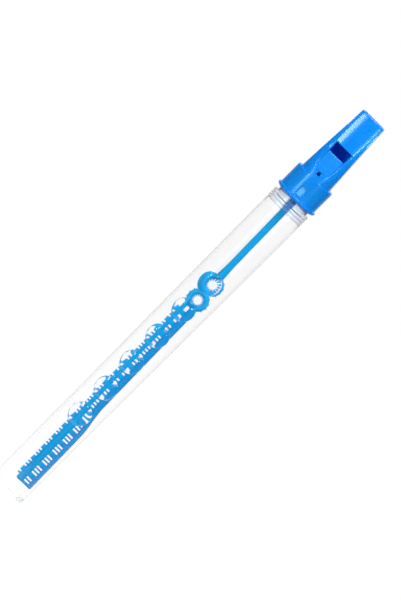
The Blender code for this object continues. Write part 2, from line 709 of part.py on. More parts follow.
def main():
    """Clears the scene and builds the whistle."""
    for obj in list(bpy.data.objects):
        bpy.data.objects.remove(obj)
    parts = bpy.data.collections.new("bubble_whistle")
    cutters = bpy.data.collections.new("cutters")
    bpy.context.scene.collection.children.link(parts)
    bpy.context.scene.collection.children.link(cutters)

    build_tube(parts, cutters)
    cap_axis = bpy.data.objects.new("cap_axis", None)
    parts.objects.link(cap_axis)
    moving = [
        build_seal_sleeve(parts),
        build_whistle_cap(parts, cutters),
        build_fipple_plug(parts, cutters),
        build_wand_holder(parts),
        build_wand(parts, cutters),
    ]
    for piece in moving:
        piece.parent = cap_axis


main()
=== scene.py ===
"""Bubble whistle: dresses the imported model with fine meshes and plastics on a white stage.

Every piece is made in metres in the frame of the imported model: +Z runs up the tube, and -Y points out of
the whistle's window.
"""
import math

import bmesh
import bpy
from bpy.props import FloatProperty, FloatVectorProperty, IntProperty, PointerProperty
from mathutils import Matrix, Vector


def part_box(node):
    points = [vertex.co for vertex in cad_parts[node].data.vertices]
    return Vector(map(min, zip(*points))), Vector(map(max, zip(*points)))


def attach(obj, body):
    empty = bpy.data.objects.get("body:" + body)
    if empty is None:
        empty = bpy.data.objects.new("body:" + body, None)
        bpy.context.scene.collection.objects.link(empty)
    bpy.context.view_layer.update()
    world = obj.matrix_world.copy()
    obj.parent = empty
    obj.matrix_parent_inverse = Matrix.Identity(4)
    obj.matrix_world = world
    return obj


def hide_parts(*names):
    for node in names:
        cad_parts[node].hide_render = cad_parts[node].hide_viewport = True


bl_info = {
    "name": "Bubble whistle",
    "version": (1, 0, 0),
    "blender": (4, 5, 0),
    "location": "View3D > Sidebar > Bubble whistle",
    "description": "Builds a clear bubble tube with a blue whistle cap and a dipping wand",
    "category": "Add Mesh",
}

MM = 0.001
WHITE = (1.0, 1.0, 1.0)

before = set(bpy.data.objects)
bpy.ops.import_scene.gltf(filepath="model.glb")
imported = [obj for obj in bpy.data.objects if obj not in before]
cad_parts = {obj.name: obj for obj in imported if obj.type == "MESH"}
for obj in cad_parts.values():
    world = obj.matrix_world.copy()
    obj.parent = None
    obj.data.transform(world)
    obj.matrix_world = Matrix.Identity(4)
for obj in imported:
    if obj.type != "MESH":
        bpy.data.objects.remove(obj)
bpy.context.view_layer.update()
tube_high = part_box("tube")[1]
seal_low, seal_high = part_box("seal_sleeve")
cap_low, cap_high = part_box("whistle_cap")
plug_low, plug_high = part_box("fipple_plug")
holder_low, holder_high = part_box("wand_holder")

# Clearance between the pieces
FIT_GAP = 0.25 * MM

# Heights of the clear tube
NECK_TOP = tube_high.z
NECK_LENGTH = 14.5 * MM
TUBE_LENGTH = NECK_TOP - NECK_LENGTH
COLLAR_HEIGHT = 6.6 * MM
COLLAR_FOOT = TUBE_LENGTH - COLLAR_HEIGHT
SHOULDER_DROP = 4.0 * MM
TUBE_FLOOR = 1.8 * MM

# Radii of the clear tube and its neck
TUBE_BASE_RADIUS = 12.15 * MM
TUBE_TOP_RADIUS = 13.5 * MM
TUBE_WALL = 1.2 * MM
HEEL_ROUND = 1.6 * MM
BASE_RECESS_RADIUS = 6.5 * MM
BASE_RECESS_DEPTH = 0.6 * MM
COLLAR_GROOVES = 3
COLLAR_GROOVE_DEPTH = 0.3 * MM
NECK_RADIUS = 11.4 * MM
NECK_BORE = 10.55 * MM
NECK_BEADS = 2
NECK_BEAD_RISE = 0.2 * MM
NECK_BEAD_WIDTH = 1.4 * MM
RIM_ROUND = 0.3 * MM
RIM_CHAMFER = 0.2 * MM

# Share of the wall by which a bubble is smaller on the bore than outside
LENS_INSET_SHARE = 0.4

# Seal, skirt and flange
SLEEVE_RADIUS = seal_high.x
SLEEVE_BORE = SLEEVE_RADIUS - 0.6 * MM
SEAL_WASHER = 1.2 * MM
SEAL_ROUND = 0.25 * MM
SKIRT_BORE = SLEEVE_RADIUS + FIT_GAP
FLANGE_RADIUS = cap_high.x
FLANGE_LIP = 1.1 * MM
FLANGE_HEIGHT = 3.0 * MM
FLANGE_ARC_DEG = 80
SKIRT_RADIUS = FLANGE_RADIUS - FLANGE_LIP
SKIRT_ROUND = 0.9 * MM
SKIRT_BOTTOM = cap_low.z
FLANGE_TOP = SKIRT_BOTTOM + FLANGE_HEIGHT
LEDGE = holder_high.z + FIT_GAP
SKIRT_TOP = LEDGE + 1.95 * MM
SKIRT_WINDOW_WIDTH = 3.9 * MM
SKIRT_WINDOW_HEIGHT = 6.0 * MM
SKIRT_WINDOW_BOTTOM = FLANGE_TOP + 1.2 * MM

# Mouthpiece
TIP = cap_high.z
BLOCK = plug_low.z
SOUND_WINDOW_WIDTH = 11.4 * MM
SOUND_WINDOW_HEIGHT = 6.9 * MM
WINDOW_CORNER = 0.6 * MM
RAMP_EDGE_ROUND = 1.3 * MM
RAMP_EDGE_LEAST = 0.2 * MM
RAMP_EDGE_SHARE = 0.68
LIP = BLOCK - SOUND_WINDOW_HEIGHT
LIP_THICKNESS = 0.7 * MM
WINDWAY_HEIGHT = 1.3 * MM
RAMP_FOOT = SKIRT_TOP + 3.0 * MM
TONE_HOLE_RADIUS = 1.2 * MM
TONE_HOLE_HEIGHT = SKIRT_TOP + 3.6 * MM
BEAK_ROOT_HALF = SKIRT_RADIUS - 2.3 * MM
BEAK_ROOT_FRONT = SKIRT_RADIUS - 0.03 * MM
BEAK_HOLLOW = 0.25
BEAK_WALL = 1.7 * MM
FRONT_PLATE = 2.3 * MM
PLUG_CHEEK = 1.2 * MM
PLUG_EDGE = 0.15 * MM
BEAK_TIP_HALF = SOUND_WINDOW_WIDTH / 2 + PLUG_CHEEK + BEAK_WALL
TIP_FRONT = 7.4 * MM
TIP_BACK = 4.5 * MM
TIP_CORNER = 2.2 * MM
CROWN_RADIUS = 18.5 * MM
CROWN_RUN = 17.0 * MM
CORNER_LIMIT = 0.98
CHAMBER_RUN_OUT = 2.0 * MM

# Wand holder and its socket
HOLDER_ROUND = 0.3 * MM
BOSS_RADIUS = 2.5 * MM
SOCKET_RADIUS = BOSS_RADIUS - 0.6 * MM
BOSS_BOTTOM = holder_low.z
HOLDER_TOP = holder_high.z
HOLDER_BOTTOM = HOLDER_TOP - 2.0 * MM
SOCKET_TOP = HOLDER_BOTTOM - 1.6 * MM
SOCKET_MIDDLE = (BOSS_BOTTOM + SOCKET_TOP) / 2

# Wand, upright in its own frame with the middle of the socket as its pivot
ROD_TOP = BOSS_BOTTOM - FIT_GAP
ROD_RADIUS = 2.15 * MM
ROD_LENGTH = 58.75 * MM
ROD_FLARE_RADIUS = 2.7 * MM
ROD_FLARE_LENGTH = 11.0 * MM
HOOP_RADIUS = 5.2 * MM
HOOP_THICKNESS = 3.6 * MM
HOOP_SPACING = 12.6 * MM
HOOP_RIBS = 14
HOOP_RIB_WIDTH = 0.8 * MM
HOOP_RIB_RISE = 0.8 * MM
HOOP_RIB_TURN = 0.2
UPPER_HOOP = ROD_TOP - ROD_LENGTH
UPPER_HOOP_CENTRE = UPPER_HOOP - HOOP_RADIUS
LOWER_HOOP_CENTRE = UPPER_HOOP_CENTRE - HOOP_SPACING
WAND_END = 9.6 * MM
BLADE_LEFT = 5.0 * MM
BLADE_RIGHT = 4.3 * MM
SLOT_LEFT = -2.3 * MM
SLOT_RIGHT = -0.3 * MM
FLARE_SLOT_LEFT = -0.2 * MM
FLARE_RIGHT = 6.46 * MM
FLARE_RAIL_THICKNESS = 2.9 * MM
FLARE_BOTTOM = WAND_END + 44.0 * MM
FLARE_TOP = FLARE_BOTTOM + 22.0 * MM
RAIL_UNIT = 1.0 * MM
END_BAR_THICKNESS = 1.8 * MM
END_BAR_INSET = 0.15 * MM
END_ROUND = 0.9 * MM
FIN_PITCH = 2.2 * MM
FIN_THICKNESS = 0.95 * MM
FIN_DEPTH = 2.4 * MM
FIN_ROOT = 0.15
BAR_PITCH = 8.886 * MM
BAR_THICKNESS = 3.2 * MM
FIRST_BAR = WAND_END + 6.86 * MM

# Fineness of the meshes
TURN_STEPS = 96
ROD_STEPS = 48
HOOP_STEPS = 64
HOOP_SECTION_STEPS = 24
ARC_STEPS = 8
CORNER_STEPS = 16
LOFT_STEPS = 36
TILE_STEPS = 20
TILE_HALF_DEG = 46
BACK_STEPS = 60
BELT_STEPS = 6
LENS_RINGS = 10
TILE_RINGS = 6
RAIL_STEPS = 5
TONE_HOLE_STEPS = 32

# Rounded edges: faces across them, their profile, and the bend past which an edge is rounded
EDGE_FACES = 2
EDGE_PROFILE = 0.5
CAP_EDGE_BEND = math.radians(28)
PLUG_EDGE_BEND = math.radians(40)

# Shading: the bend past which an edge is sharp, and the weight of flat faces beside round edges
SMOOTH_ANGLE = math.radians(32)
FLAT_WEIGHT = 80

# How far cutters reach past what they cut, and distances under which mesh points are one
CUT_PAST = 5.0 * MM
ON_AXIS = 0.000001 * MM
SAME_PLACE = 0.0001 * MM
RAIL_WELD = 0.001 * MM
SLIVER = 0.002 * MM
THIN_FACE = 0.02 * MM
SHORT_EDGE = 0.03 * MM

# Depth of the flow lines in the clear and the blue plastic, and detail of the finer noise
FLOW_DEPTH = 0.05 * MM
FINE_DETAIL = 3.0

# Clear plastic: flow lines, and the heights over which the collar and the foot turn frosted
TUBE_FLOW_SCALE = 90.0
TUBE_FLOW_STRETCH = (1.0, 1.0, 0.12)
TUBE_FLOW_SHADE = 0.985
TUBE_FLOW_BUMP = 0.12
WALL_ROUGHNESS = 0.1
COLLAR_ROUGHNESS = 0.2
FOOT_ROUGHNESS = 0.3
COLLAR_FROST = (COLLAR_FOOT - 0.4 * MM, COLLAR_FOOT + 0.4 * MM)
FOOT_FROST = (3.6 * MM, 2.6 * MM)

# Blue plastic: flow lines, uneven gloss, and how far red, green and blue light spread in it
BLUE_FLOW_SCALE = 160.0
BLUE_FLOW_STRETCH = (1.0, 1.0, 0.2)
BLUE_FLOW_BUMP = 0.1
SMEAR_SCALE = 420.0
SMEAR_SPREAD = 0.02
PLASTIC_GLOW = 0.35
PLASTIC_REACH = (0.05 * MM, 0.6 * MM, 6.0 * MM)
PLASTIC_SPECULAR = 0.5
INNER_ROUGHNESS = 0.3
INNER_SHADE = 0.85
WAND_ROUGHNESS = 0.3
WAND_SPECULAR = 0.06
WAND_FLOW_SHARE = 0.25

# Where painted shade darkens the leaning wand's smooth rail: X plus this slope times height, from start to
# full
RAIL_SHADE_SLOPE = 0.0343
RAIL_SHADE_START = 4.8 * MM
RAIL_SHADE_FULL = 6.8 * MM

# Milky plastic of the seal
SEAL_CLOUD_SCALE = 300.0
SEAL_CLOUD_SHADE = 0.9
SEAL_ROUGHNESS = (0.38, 0.50)
SEAL_GLOW = 0.3
SEAL_REACH = 0.6 * MM

# Reach along Y over which the room turns white, as mirrored inside one wall of the tube and in gloss
GLASS_REACH = (-1.0, 0.5)
GLOSS_REACH = (0.65, 1.0)

# Counts of a ray's bounces are compared half-way between two whole numbers
NO_BOUNCE = 0.5
ONE_WALL = 2.5

# Floor: how far in front of the axis its front begins, how far it lies below the base, and half its width
FLOOR_SHIFT = 0.15
FLOOR_DROP = 0.05 * MM
FLOOR_HALF = 8.0

# Lamps: place, height of what they point to on the axis, and size across and up
FRONT_LAMP = ((0.08, -0.70, 1.25), 0.16, (0.5, 0.4))
REAR_LAMP = ((-0.08, 0.70, 1.25), 0.16, (0.5, 0.4))
KEY_LAMP = ((-0.64, -0.885, 0.445), 0.445, (0.33, 0.10))
GLINT_LAMP = ((-0.64, -0.965, 0.165), 0.165, (0.22, 0.06))
FILL_LAMP = ((0.778, -0.842, 0.42), 0.42, (0.16, 0.13))

# The photograph's frame: its size, the whistle's axis and scale in it, and how far the camera sees
PHOTO_WIDTH = 401
PHOTO_HEIGHT = 601
PHOTO_AXIS_DEG = 45.11
PHOTO_ZERO = (6.31, 489.14)
PHOTO_MM_PER_PIXEL = 0.6
CAMERA_REACH = 100.0


def mix(a, b, t):
    """Value between a and b."""
    return a + (b - a) * t


def spread(first, last, steps=LOFT_STEPS):
    """Evenly spaced values, both ends included."""
    return [mix(first, last, i / steps) for i in range(steps + 1)]


def smooth_step(low, high, value):
    """Eased rise from 0 at low to 1 at high."""
    t = min(max((value - low) / (high - low), 0.0), 1.0)
    return t * t * (3 - 2 * t)


def arc(centre, radius, start_deg, end_deg, steps=ARC_STEPS):
    """Points (across, up) on an arc, both ends included."""
    angles = [math.radians(angle) for angle in spread(start_deg, end_deg, steps)]
    return [(centre[0] + radius * math.cos(a), centre[1] + radius * math.sin(a)) for a in angles]


def darker(colour, share):
    """A colour with each part cut down to a share."""
    return [share * part for part in colour]


# Settings that a user would change


LENGTH = {"subtype": "DISTANCE", "unit": "LENGTH"}
ANGLE = {"subtype": "ANGLE", "unit": "ROTATION"}
COLOUR = {"subtype": "COLOR", "size": 3, "min": 0.0, "max": 1.0}
POWER = {"unit": "POWER", "min": 0.0}
SHARE = {"min": 0.0, "max": 1.0}


class WhistleShape(bpy.types.PropertyGroup):
    """Sizes of the forms that give the whistle its look."""
    lens_diameter: FloatProperty(
        name="Lens diameter", description="Width of the bubbles moulded on the tube's front",
        default=15.0 * MM, min=4.0 * MM, max=17.0 * MM, **LENGTH)
    lens_rise: FloatProperty(
        name="Lens rise", description="How far a bubble stands out of the tube",
        default=1.6 * MM, min=0.2 * MM, max=1.6 * MM, **LENGTH)
    lens_fullness: FloatProperty(
        name="Lens fullness", description="How steep a bubble's rim is: 2 is a plain dome",
        default=5.0, min=2.0, max=8.0)
    lens_hollow: FloatProperty(
        name="Lens hollow", description="Share of a bubble's rise that the bore follows",
        default=0.45, **SHARE)
    lens_pitch: FloatProperty(
        name="Lens pitch", description="Height between the middles of two bubbles",
        default=21.96 * MM, min=18.0 * MM, max=30.0 * MM, **LENGTH)
    lens_first: FloatProperty(
        name="First lens", description="Height of the lowest bubble's middle above the base",
        default=64.8 * MM, min=20.0 * MM, max=70.0 * MM, **LENGTH)
    lens_count: IntProperty(
        name="Lenses", description="Number of bubbles in the row", default=6, min=1, max=8)
    cap_edge: FloatProperty(
        name="Cap edge", description="Rounding of the cap's moulded edges",
        default=0.4 * MM, min=0.05 * MM, max=0.6 * MM, **LENGTH)
    fin_edge: FloatProperty(
        name="Fin edge", description="Rounding of the wand's bars and fins",
        default=0.18 * MM, min=0.02 * MM, max=0.4 * MM, **LENGTH)
    tooth_length: FloatProperty(
        name="Tooth length", description="How far the fins stand out of the wand's toothed rail",
        default=1.5 * MM, min=0.2 * MM, max=1.6 * MM, **LENGTH)
    wand_lean: FloatProperty(
        name="Wand lean", description="Lean of the wand in its socket towards +X at its end",
        default=math.radians(0.9), min=0.0, max=math.radians(1.0), **ANGLE)


class WhistleFinish(bpy.types.PropertyGroup):
    """Colours and gloss of the plastics."""
    cap_colour: FloatVectorProperty(
        name="Cap", description="Blue of the whistle cap", default=(0.0, 0.272, 0.95), **COLOUR)
    cap_shade: FloatVectorProperty(
        name="Cap flow lines", description="Deeper blue of the cap's flow lines",
        default=(0.0, 0.235, 0.87), **COLOUR)
    wand_colour: FloatVectorProperty(
        name="Wand", description="Blue of the dipping wand", default=(0.0, 0.375, 0.80), **COLOUR)
    # Painted shade: the smooth rail's deeper blue stands in for the shade on the wand's side away from the
    # key light
    wand_rail_painted_shade: FloatVectorProperty(
        name="Wand rail", description="Deeper blue of the wand's smooth rail",
        default=(0.0, 0.28, 0.71), **COLOUR)
    inner_colour: FloatVectorProperty(
        name="Plug and holder", description="Blue of the two pieces inside the cap",
        default=(0.0, 0.20, 0.75), **COLOUR)
    seal_colour: FloatVectorProperty(
        name="Seal", description="Milky colour of the soft seal", default=(0.12, 0.52, 1.0), **COLOUR)
    tube_colour: FloatVectorProperty(
        name="Tube", description="Tint of the clear tube", default=(0.995, 0.995, 0.997), **COLOUR)
    collar_colour: FloatVectorProperty(
        name="Collar", description="Tint of the frosted collar", default=(0.86, 0.89, 0.94), **COLOUR)
    tube_ior: FloatProperty(
        name="Tube refraction", description="Refractive index of the clear plastic",
        default=1.45, min=1.3, max=1.6)
    tube_gloss: FloatProperty(
        name="Tube gloss", description="How strongly the clear plastic mirrors the room",
        default=0.7, **SHARE)
    gloss_roughness: FloatProperty(
        name="Gloss", description="Roughness of the cap's moulded plastic", default=0.22, min=0.02, max=0.6)


class WhistleStage(bpy.types.PropertyGroup):
    """Camera and light."""
    azimuth: FloatProperty(
        name="Azimuth", description="How far the camera is turned to the +X side of the whistle's front",
        default=math.radians(2.5), **ANGLE)
    elevation: FloatProperty(
        name="Elevation", description="How far the camera looks down on the whistle",
        default=math.radians(6.0), **ANGLE)
    lens: FloatProperty(
        name="Lens", description="Focal length in millimetres, long so that the view has little perspective",
        default=400.0, min=50.0, max=1000.0)
    front_power: FloatProperty(
        name="Front light", description="Power of the large soft light high above the camera",
        default=8.6, **POWER)
    rear_power: FloatProperty(
        name="Rear light", description="Power of the large soft light high behind the whistle",
        default=9.0, **POWER)
    key_power: FloatProperty(
        name="Key light", description="Power of the light that the mouthpiece mirrors as a broad band",
        default=3.2, **POWER)
    glint_power: FloatProperty(
        name="Skirt light", description="Power of the small light that the skirt mirrors",
        default=0.95, **POWER)
    fill_power: FloatProperty(
        name="Fill light", description="Power of the light that the mouthpiece mirrors as a thin line",
        default=3.0, **POWER)
    key_colour: FloatVectorProperty(
        name="Key colour", description="Cool colour of the key light", default=(0.7, 1.0, 1.0), **COLOUR)
    glint_colour: FloatVectorProperty(
        name="Glint colour", description="Cyan of the skirt light and the fill light",
        default=(0.4, 1.0, 1.0), **COLOUR)
    ambient: FloatProperty(
        name="Ambient", description="Strength of the room's light on the pieces", default=0.40, **SHARE)
    room_front: FloatProperty(
        name="Front of the room", description="How white the room's front is mirrored inside the tube's wall",
        default=0.15, **SHARE)
    gloss_front: FloatProperty(
        name="Front in gloss", description="How white the room in front of the whistle is mirrored in it",
        default=0.02, **SHARE)
    floor_colour: FloatVectorProperty(
        name="Floor", description="What the floor gives back of the lamps' light, low for a faint shadow",
        default=(0.1, 0.1, 0.1), **COLOUR)
    floor_glow: FloatProperty(
        name="Floor white", description="Share of the floor's white that doesn't come from the lamps",
        default=0.96, **SHARE)


class WhistleSettings(bpy.types.PropertyGroup):
    """All settings of the bubble whistle."""
    shape: PointerProperty(type=WhistleShape, name="Shape", description="Sizes of the forms")
    finish: PointerProperty(type=WhistleFinish, name="Finish", description="Colours and gloss")
    stage: PointerProperty(type=WhistleStage, name="Stage", description="Camera and light")


def settings():
    """The scene's whistle settings."""
    return bpy.context.scene.bubble_whistle


# Shader nodes


class Wire:
    """One output of a shader node; Python's operators on it add Math nodes."""

    def __init__(self, tree, socket):
        self.tree = tree
        self.socket = socket

    def maths(self, operation, first, second):
        """Adds a Math node to the tree."""
        node = self.tree.nodes.new("ShaderNodeMath")
        node.operation = operation
        connect(self.tree, node.inputs[0], first)
        connect(self.tree, node.inputs[1], second)
        return Wire(self.tree, node.outputs[0])

    def __add__(self, other):
        return self.maths("ADD", self, other)

    def __radd__(self, other):
        return self.maths("ADD", other, self)

    def __sub__(self, other):
        return self.maths("SUBTRACT", self, other)

    def __rsub__(self, other):
        return self.maths("SUBTRACT", other, self)

    def __mul__(self, other):
        return self.maths("MULTIPLY", self, other)

    def __rmul__(self, other):
        return self.maths("MULTIPLY", other, self)

    def __lt__(self, other):
        return self.maths("LESS_THAN", self, other)

    def __gt__(self, other):
        return self.maths("GREATER_THAN", self, other)


def connect(tree, socket, value):
    """Links a wire to an input socket, or sets the socket's own value."""
    if isinstance(value, Wire):
        tree.links.new(value.socket, socket)
    elif socket.type == "RGBA" and len(value) == 3:
        socket.default_value = (*value, 1.0)
    else:
        socket.default_value = value


class NodeSheet:
    """A node tree that is written from empty."""

    def __init__(self, tree):
        self.tree = tree
        tree.nodes.clear()

    def node(self, kind, options=None, sockets=None, output=0):
        """Adds a node: options are set first, then the values and links of its sockets."""
        node = self.tree.nodes.new(kind)
        for name, value in (options or {}).items():
            setattr(node, name, value)
        by_identifier = {socket.identifier: socket for socket in node.inputs}
        for name, value in (sockets or {}).items():
            connect(self.tree, by_identifier.get(name) or node.inputs[name], value)
        return Wire(self.tree, node.outputs[output]) if node.outputs else None

    def axis(self, place, name):
        """One coordinate of a place or a direction."""
        return self.node("ShaderNodeSeparateXYZ", None, {0: place}, output=name)

    def rise(self, value, reach, kind="SMOOTHSTEP"):
        """How far a value has come over a reach, from 0 to 1."""
        return self.node("ShaderNodeMapRange", {"interpolation_type": kind}, {
            "Value": value, "From Min": reach[0], "From Max": reach[1]})

    def blend(self, share, first, second):
        """A colour between two colours."""
        return self.node(
            "ShaderNodeMix", {"data_type": "RGBA"},
            {"Factor_Float": share, "A_Color": first, "B_Color": second}, output=2)

    def noise(self, place, scale, detail=2.0, stretch=(1.0, 1.0, 1.0)):
        """Noise from 0 to 1, stretched along the piece's own axes."""
        stretched = self.node("ShaderNodeVectorMath", {"operation": "MULTIPLY"}, {0: place, 1: stretch})
        return self.node(
            "ShaderNodeTexNoise", {"noise_dimensions": "3D"},
            {"Vector": stretched, "Scale": scale, "Detail": detail}, output="Fac")

    def bump(self, strength, height):
        """A normal that follows a faint relief."""
        return self.node("ShaderNodeBump", None, {
            "Strength": strength, "Distance": FLOW_DEPTH, "Height": height})

    def surface(self, shader):
        """Ends a material's sheet with a shader."""
        self.node("ShaderNodeOutputMaterial", None, {"Surface": shader})


def new_finish(name):
    """An empty material, its node sheet, and the place on the piece as a wire."""
    material = bpy.data.materials.new(name)
    material.use_nodes = True
    sheet = NodeSheet(material.node_tree)
    return material, sheet, sheet.node("ShaderNodeTexCoord", output="Object")


def clear_plastic():
    """Clear moulded plastic with faint flow lines, and a frosted collar and foot."""
    finish = settings().finish
    material, sheet, place = new_finish("clear_plastic")
    flow = sheet.noise(place, TUBE_FLOW_SCALE, stretch=TUBE_FLOW_STRETCH)
    height = sheet.axis(place, "Z")
    collar = sheet.rise(height, COLLAR_FROST)
    foot = sheet.rise(height, FOOT_FROST)
    frost = collar * (COLLAR_ROUGHNESS - WALL_ROUGHNESS) + foot * (FOOT_ROUGHNESS - WALL_ROUGHNESS)
    clear = sheet.blend(flow, finish.tube_colour, darker(finish.tube_colour, TUBE_FLOW_SHADE))
    shader = sheet.node("ShaderNodeBsdfPrincipled", None, {
        "Base Color": sheet.blend(collar, clear, finish.collar_colour), "Roughness": frost + WALL_ROUGHNESS,
        "IOR": finish.tube_ior, "Transmission Weight": 1.0, "Specular Tint": [finish.tube_gloss] * 3,
        "Normal": sheet.bump(TUBE_FLOW_BUMP, flow)})
    to_lamp = sheet.node("ShaderNodeLightPath", output="Is Shadow Ray")
    see_through = sheet.node("ShaderNodeBsdfTransparent", None, {"Color": finish.tube_colour})
    sheet.surface(sheet.node("ShaderNodeMixShader", None, {0: to_lamp, 1: shader, 2: see_through}))
    return material


def rail_shade_mask(sheet, place):
    """Mask of the painted shade: 1 on the wand's smooth rail and 0 elsewhere, from a place on the leaning
    wand.
    """
    height = sheet.axis(place, "Z")
    beside = sheet.rise(sheet.axis(place, "X") + height * RAIL_SHADE_SLOPE, (RAIL_SHADE_START, RAIL_SHADE_FULL))
    below = sheet.rise(height, (LOWER_HOOP_CENTRE, LOWER_HOOP_CENTRE - 2 * HOOP_RADIUS))
    return beside * below


def moulded_plastic(
        name, colour, shade, roughness, specular=PLASTIC_SPECULAR, glow=PLASTIC_GLOW, rail=False):
    """Opaque moulded plastic with faint flow lines and uneven gloss.

    With rail, the wand's smooth rail takes the deeper shade colour in full: painted shade on the side away
    from the key light.
    """
    material, sheet, place = new_finish(name)
    flow = sheet.noise(place, BLUE_FLOW_SCALE, FINE_DETAIL, BLUE_FLOW_STRETCH)
    smear = sheet.noise(place, SMEAR_SCALE, FINE_DETAIL)
    # With rail, painted shade: the smooth rail takes the shade colour in full, over the flow lines
    depth = mix(flow * WAND_FLOW_SHARE, 1.0, rail_shade_mask(sheet, place)) if rail else flow
    sheet.surface(sheet.node("ShaderNodeBsdfPrincipled", None, {
        "Base Color": sheet.blend(depth, colour, shade),
        "Roughness": roughness - SMEAR_SPREAD / 2 + smear * SMEAR_SPREAD,
        "Specular IOR Level": specular, "Normal": sheet.bump(BLUE_FLOW_BUMP, flow),
        "Subsurface Weight": glow, "Subsurface Radius": PLASTIC_REACH, "Subsurface Scale": 1.0}))
    return material


def milky_seal():
    """Soft milky plastic that lets a little light in."""
    colour = settings().finish.seal_colour
    material, sheet, place = new_finish("milky_seal")
    cloud = sheet.noise(place, SEAL_CLOUD_SCALE, FINE_DETAIL)
    sheet.surface(sheet.node("ShaderNodeBsdfPrincipled", None, {
        "Base Color": sheet.blend(cloud, colour, darker(colour, SEAL_CLOUD_SHADE)),
        "Roughness": mix(*SEAL_ROUGHNESS, cloud),
        "Subsurface Weight": SEAL_GLOW, "Subsurface Scale": SEAL_REACH}))
    return material


# Mesh helpers


def mesh_object(name, bm):
    """Turns a finished bmesh into an object with smooth round faces."""
    bmesh.ops.recalc_face_normals(bm, faces=bm.faces)
    mesh = bpy.data.meshes.new(name)
    bm.to_mesh(mesh)
    bm.free()
    mesh.shade_smooth()
    mesh.set_sharp_from_angle(angle=SMOOTH_ANGLE)
    obj = bpy.data.objects.new(name, mesh)
    bpy.context.scene.collection.objects.link(obj)
    return obj


def dress(obj, node, body, material):
    """Puts a finished piece in place of its CAD node."""
    obj.data.materials.append(material)
    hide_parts(node)
    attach(obj, body)


def flat_normals(obj):
    """Shades flat faces flat beside round edges."""
    weigh = obj.modifiers.new("even_faces", "WEIGHTED_NORMAL")
    weigh.keep_sharp = True
    weigh.weight = FLAT_WEIGHT


def turned(profile, closed=False, steps=TURN_STEPS):
    """A bmesh swept about Z from profile points (radius, height); a radius of 0 closes on the axis."""
    bm = bmesh.new()
    turns = [2 * math.pi * i / steps for i in range(steps)]
    rows = []
    for radius, height in profile:
        if radius < ON_AXIS:
            rows.append([bm.verts.new((0.0, 0.0, height))] * steps)
        else:
            rows.append([bm.verts.new((radius * math.cos(a), radius * math.sin(a), height)) for a in turns])
    pairs = list(zip(rows, rows[1:])) + ([(rows[-1], rows[0])] if closed else [])
    for first, second in pairs:
        bridge(bm, first, second)
    return bm


def bridge(bm, first, second, loop=True):
    """Faces between two rows of equally many points; a row on the axis gives triangles."""
    count = len(first)
    for i in range(count if loop else count - 1):
        j = (i + 1) % count
        corners = []
        for vert in (first[i], first[j], second[j], second[i]):
            if vert not in corners:
                corners.append(vert)
        if len(corners) > 2:
            bm.faces.new(corners)


def loft(rings):
    """A closed bmesh skin through rings of equally many points, with flat ends."""
    bm = bmesh.new()
    rows = [[bm.verts.new(point) for point in ring] for ring in rings]
    for lower, upper in zip(rows, rows[1:]):
        bridge(bm, lower, upper)
    bm.faces.new(rows[0])
    bm.faces.new(rows[-1])
    return bm


def prism(outline, half_width):
    """A bmesh block with a flat outline of (y, z) points, as wide as twice half_width along X."""
    return loft([[Vector((x, y, z)) for y, z in outline] for x in (-half_width, half_width)])


def bevel(bm, edges, width, clamp):
    """Rounds edges; clamp keeps neighbouring rounds from overlapping."""
    bmesh.ops.bevel(
        bm, geom=edges, offset=width, segments=EDGE_FACES, profile=EDGE_PROFILE, affect="EDGES",
        clamp_overlap=clamp)


def add_bar(bm, low, high, edge, turn=None):
    """Adds a bar between two corners with rounded edges, turned by a matrix if one is given."""
    size = Vector(high) - Vector(low)
    place = Matrix.Translation((Vector(low) + Vector(high)) / 2) @ Matrix.Diagonal((*size, 1.0))
    made = bmesh.ops.create_cube(bm, size=1.0, matrix=turn @ place if turn else place)
    bevel(bm, list({e for v in made["verts"] for e in v.link_edges}), edge, clamp=True)


def evaluated_bmesh(obj):
    """A bmesh of an object as its modifiers or its curve make it."""
    evaluated = obj.evaluated_get(bpy.context.evaluated_depsgraph_get())
    bm = bmesh.new()
    bm.from_mesh(evaluated.to_mesh())
    evaluated.to_mesh_clear()
    return bm


def combined(name, base, steps):
    """Joins bmeshes to a base and cuts others from it: steps are (bmesh, UNION or DIFFERENCE)."""
    obj = mesh_object(name, base)
    helpers = []
    for i, (bm, operation) in enumerate(steps):
        helper = mesh_object(f"{name}_{i}", bm)
        boolean = obj.modifiers.new(f"step_{i}", "BOOLEAN")
        boolean.object = helper
        boolean.operation = operation
        boolean.solver = "EXACT"
        helpers.append(helper)
    result = evaluated_bmesh(obj)
    for helper in helpers + [obj]:
        mesh = helper.data
        bpy.data.objects.remove(helper)
        bpy.data.meshes.remove(mesh)
    return result


def round_edges(bm, width, bend):
    """Rounds the outer edges that bend more than an angle, without the tiny edges before and after."""
    bmesh.ops.remove_doubles(bm, verts=bm.verts, dist=SHORT_EDGE)
    bmesh.ops.dissolve_degenerate(bm, edges=bm.edges, dist=THIN_FACE)
    sharp = [e for e in bm.edges if e.is_manifold and e.is_convex and e.calc_face_angle() > bend]
    bevel(bm, sharp, width, clamp=False)
    bmesh.ops.dissolve_degenerate(bm, edges=bm.edges, dist=SLIVER)


# Clear tube


def tube_radius(height):
    """Outside radius of the clear tube, which tapers to its base."""
    return mix(TUBE_BASE_RADIUS, TUBE_TOP_RADIUS, min(height / TUBE_LENGTH, 1.0))


def collar_profile():
    """Rounded ribs of the collar at the top of the tube, from its top edge down."""
    pitch = COLLAR_HEIGHT / COLLAR_GROOVES
    points = [(TUBE_TOP_RADIUS - COLLAR_GROOVE_DEPTH, TUBE_LENGTH)]
    for i in range(COLLAR_GROOVES):
        top = TUBE_LENGTH - i * pitch
        for share in spread(0.0, 1.0, 2 * ARC_STEPS)[1:]:
            dip = COLLAR_GROOVE_DEPTH * math.cos(math.pi * share) ** 4
            points.append((TUBE_TOP_RADIUS - dip, top - share * pitch))
    return points


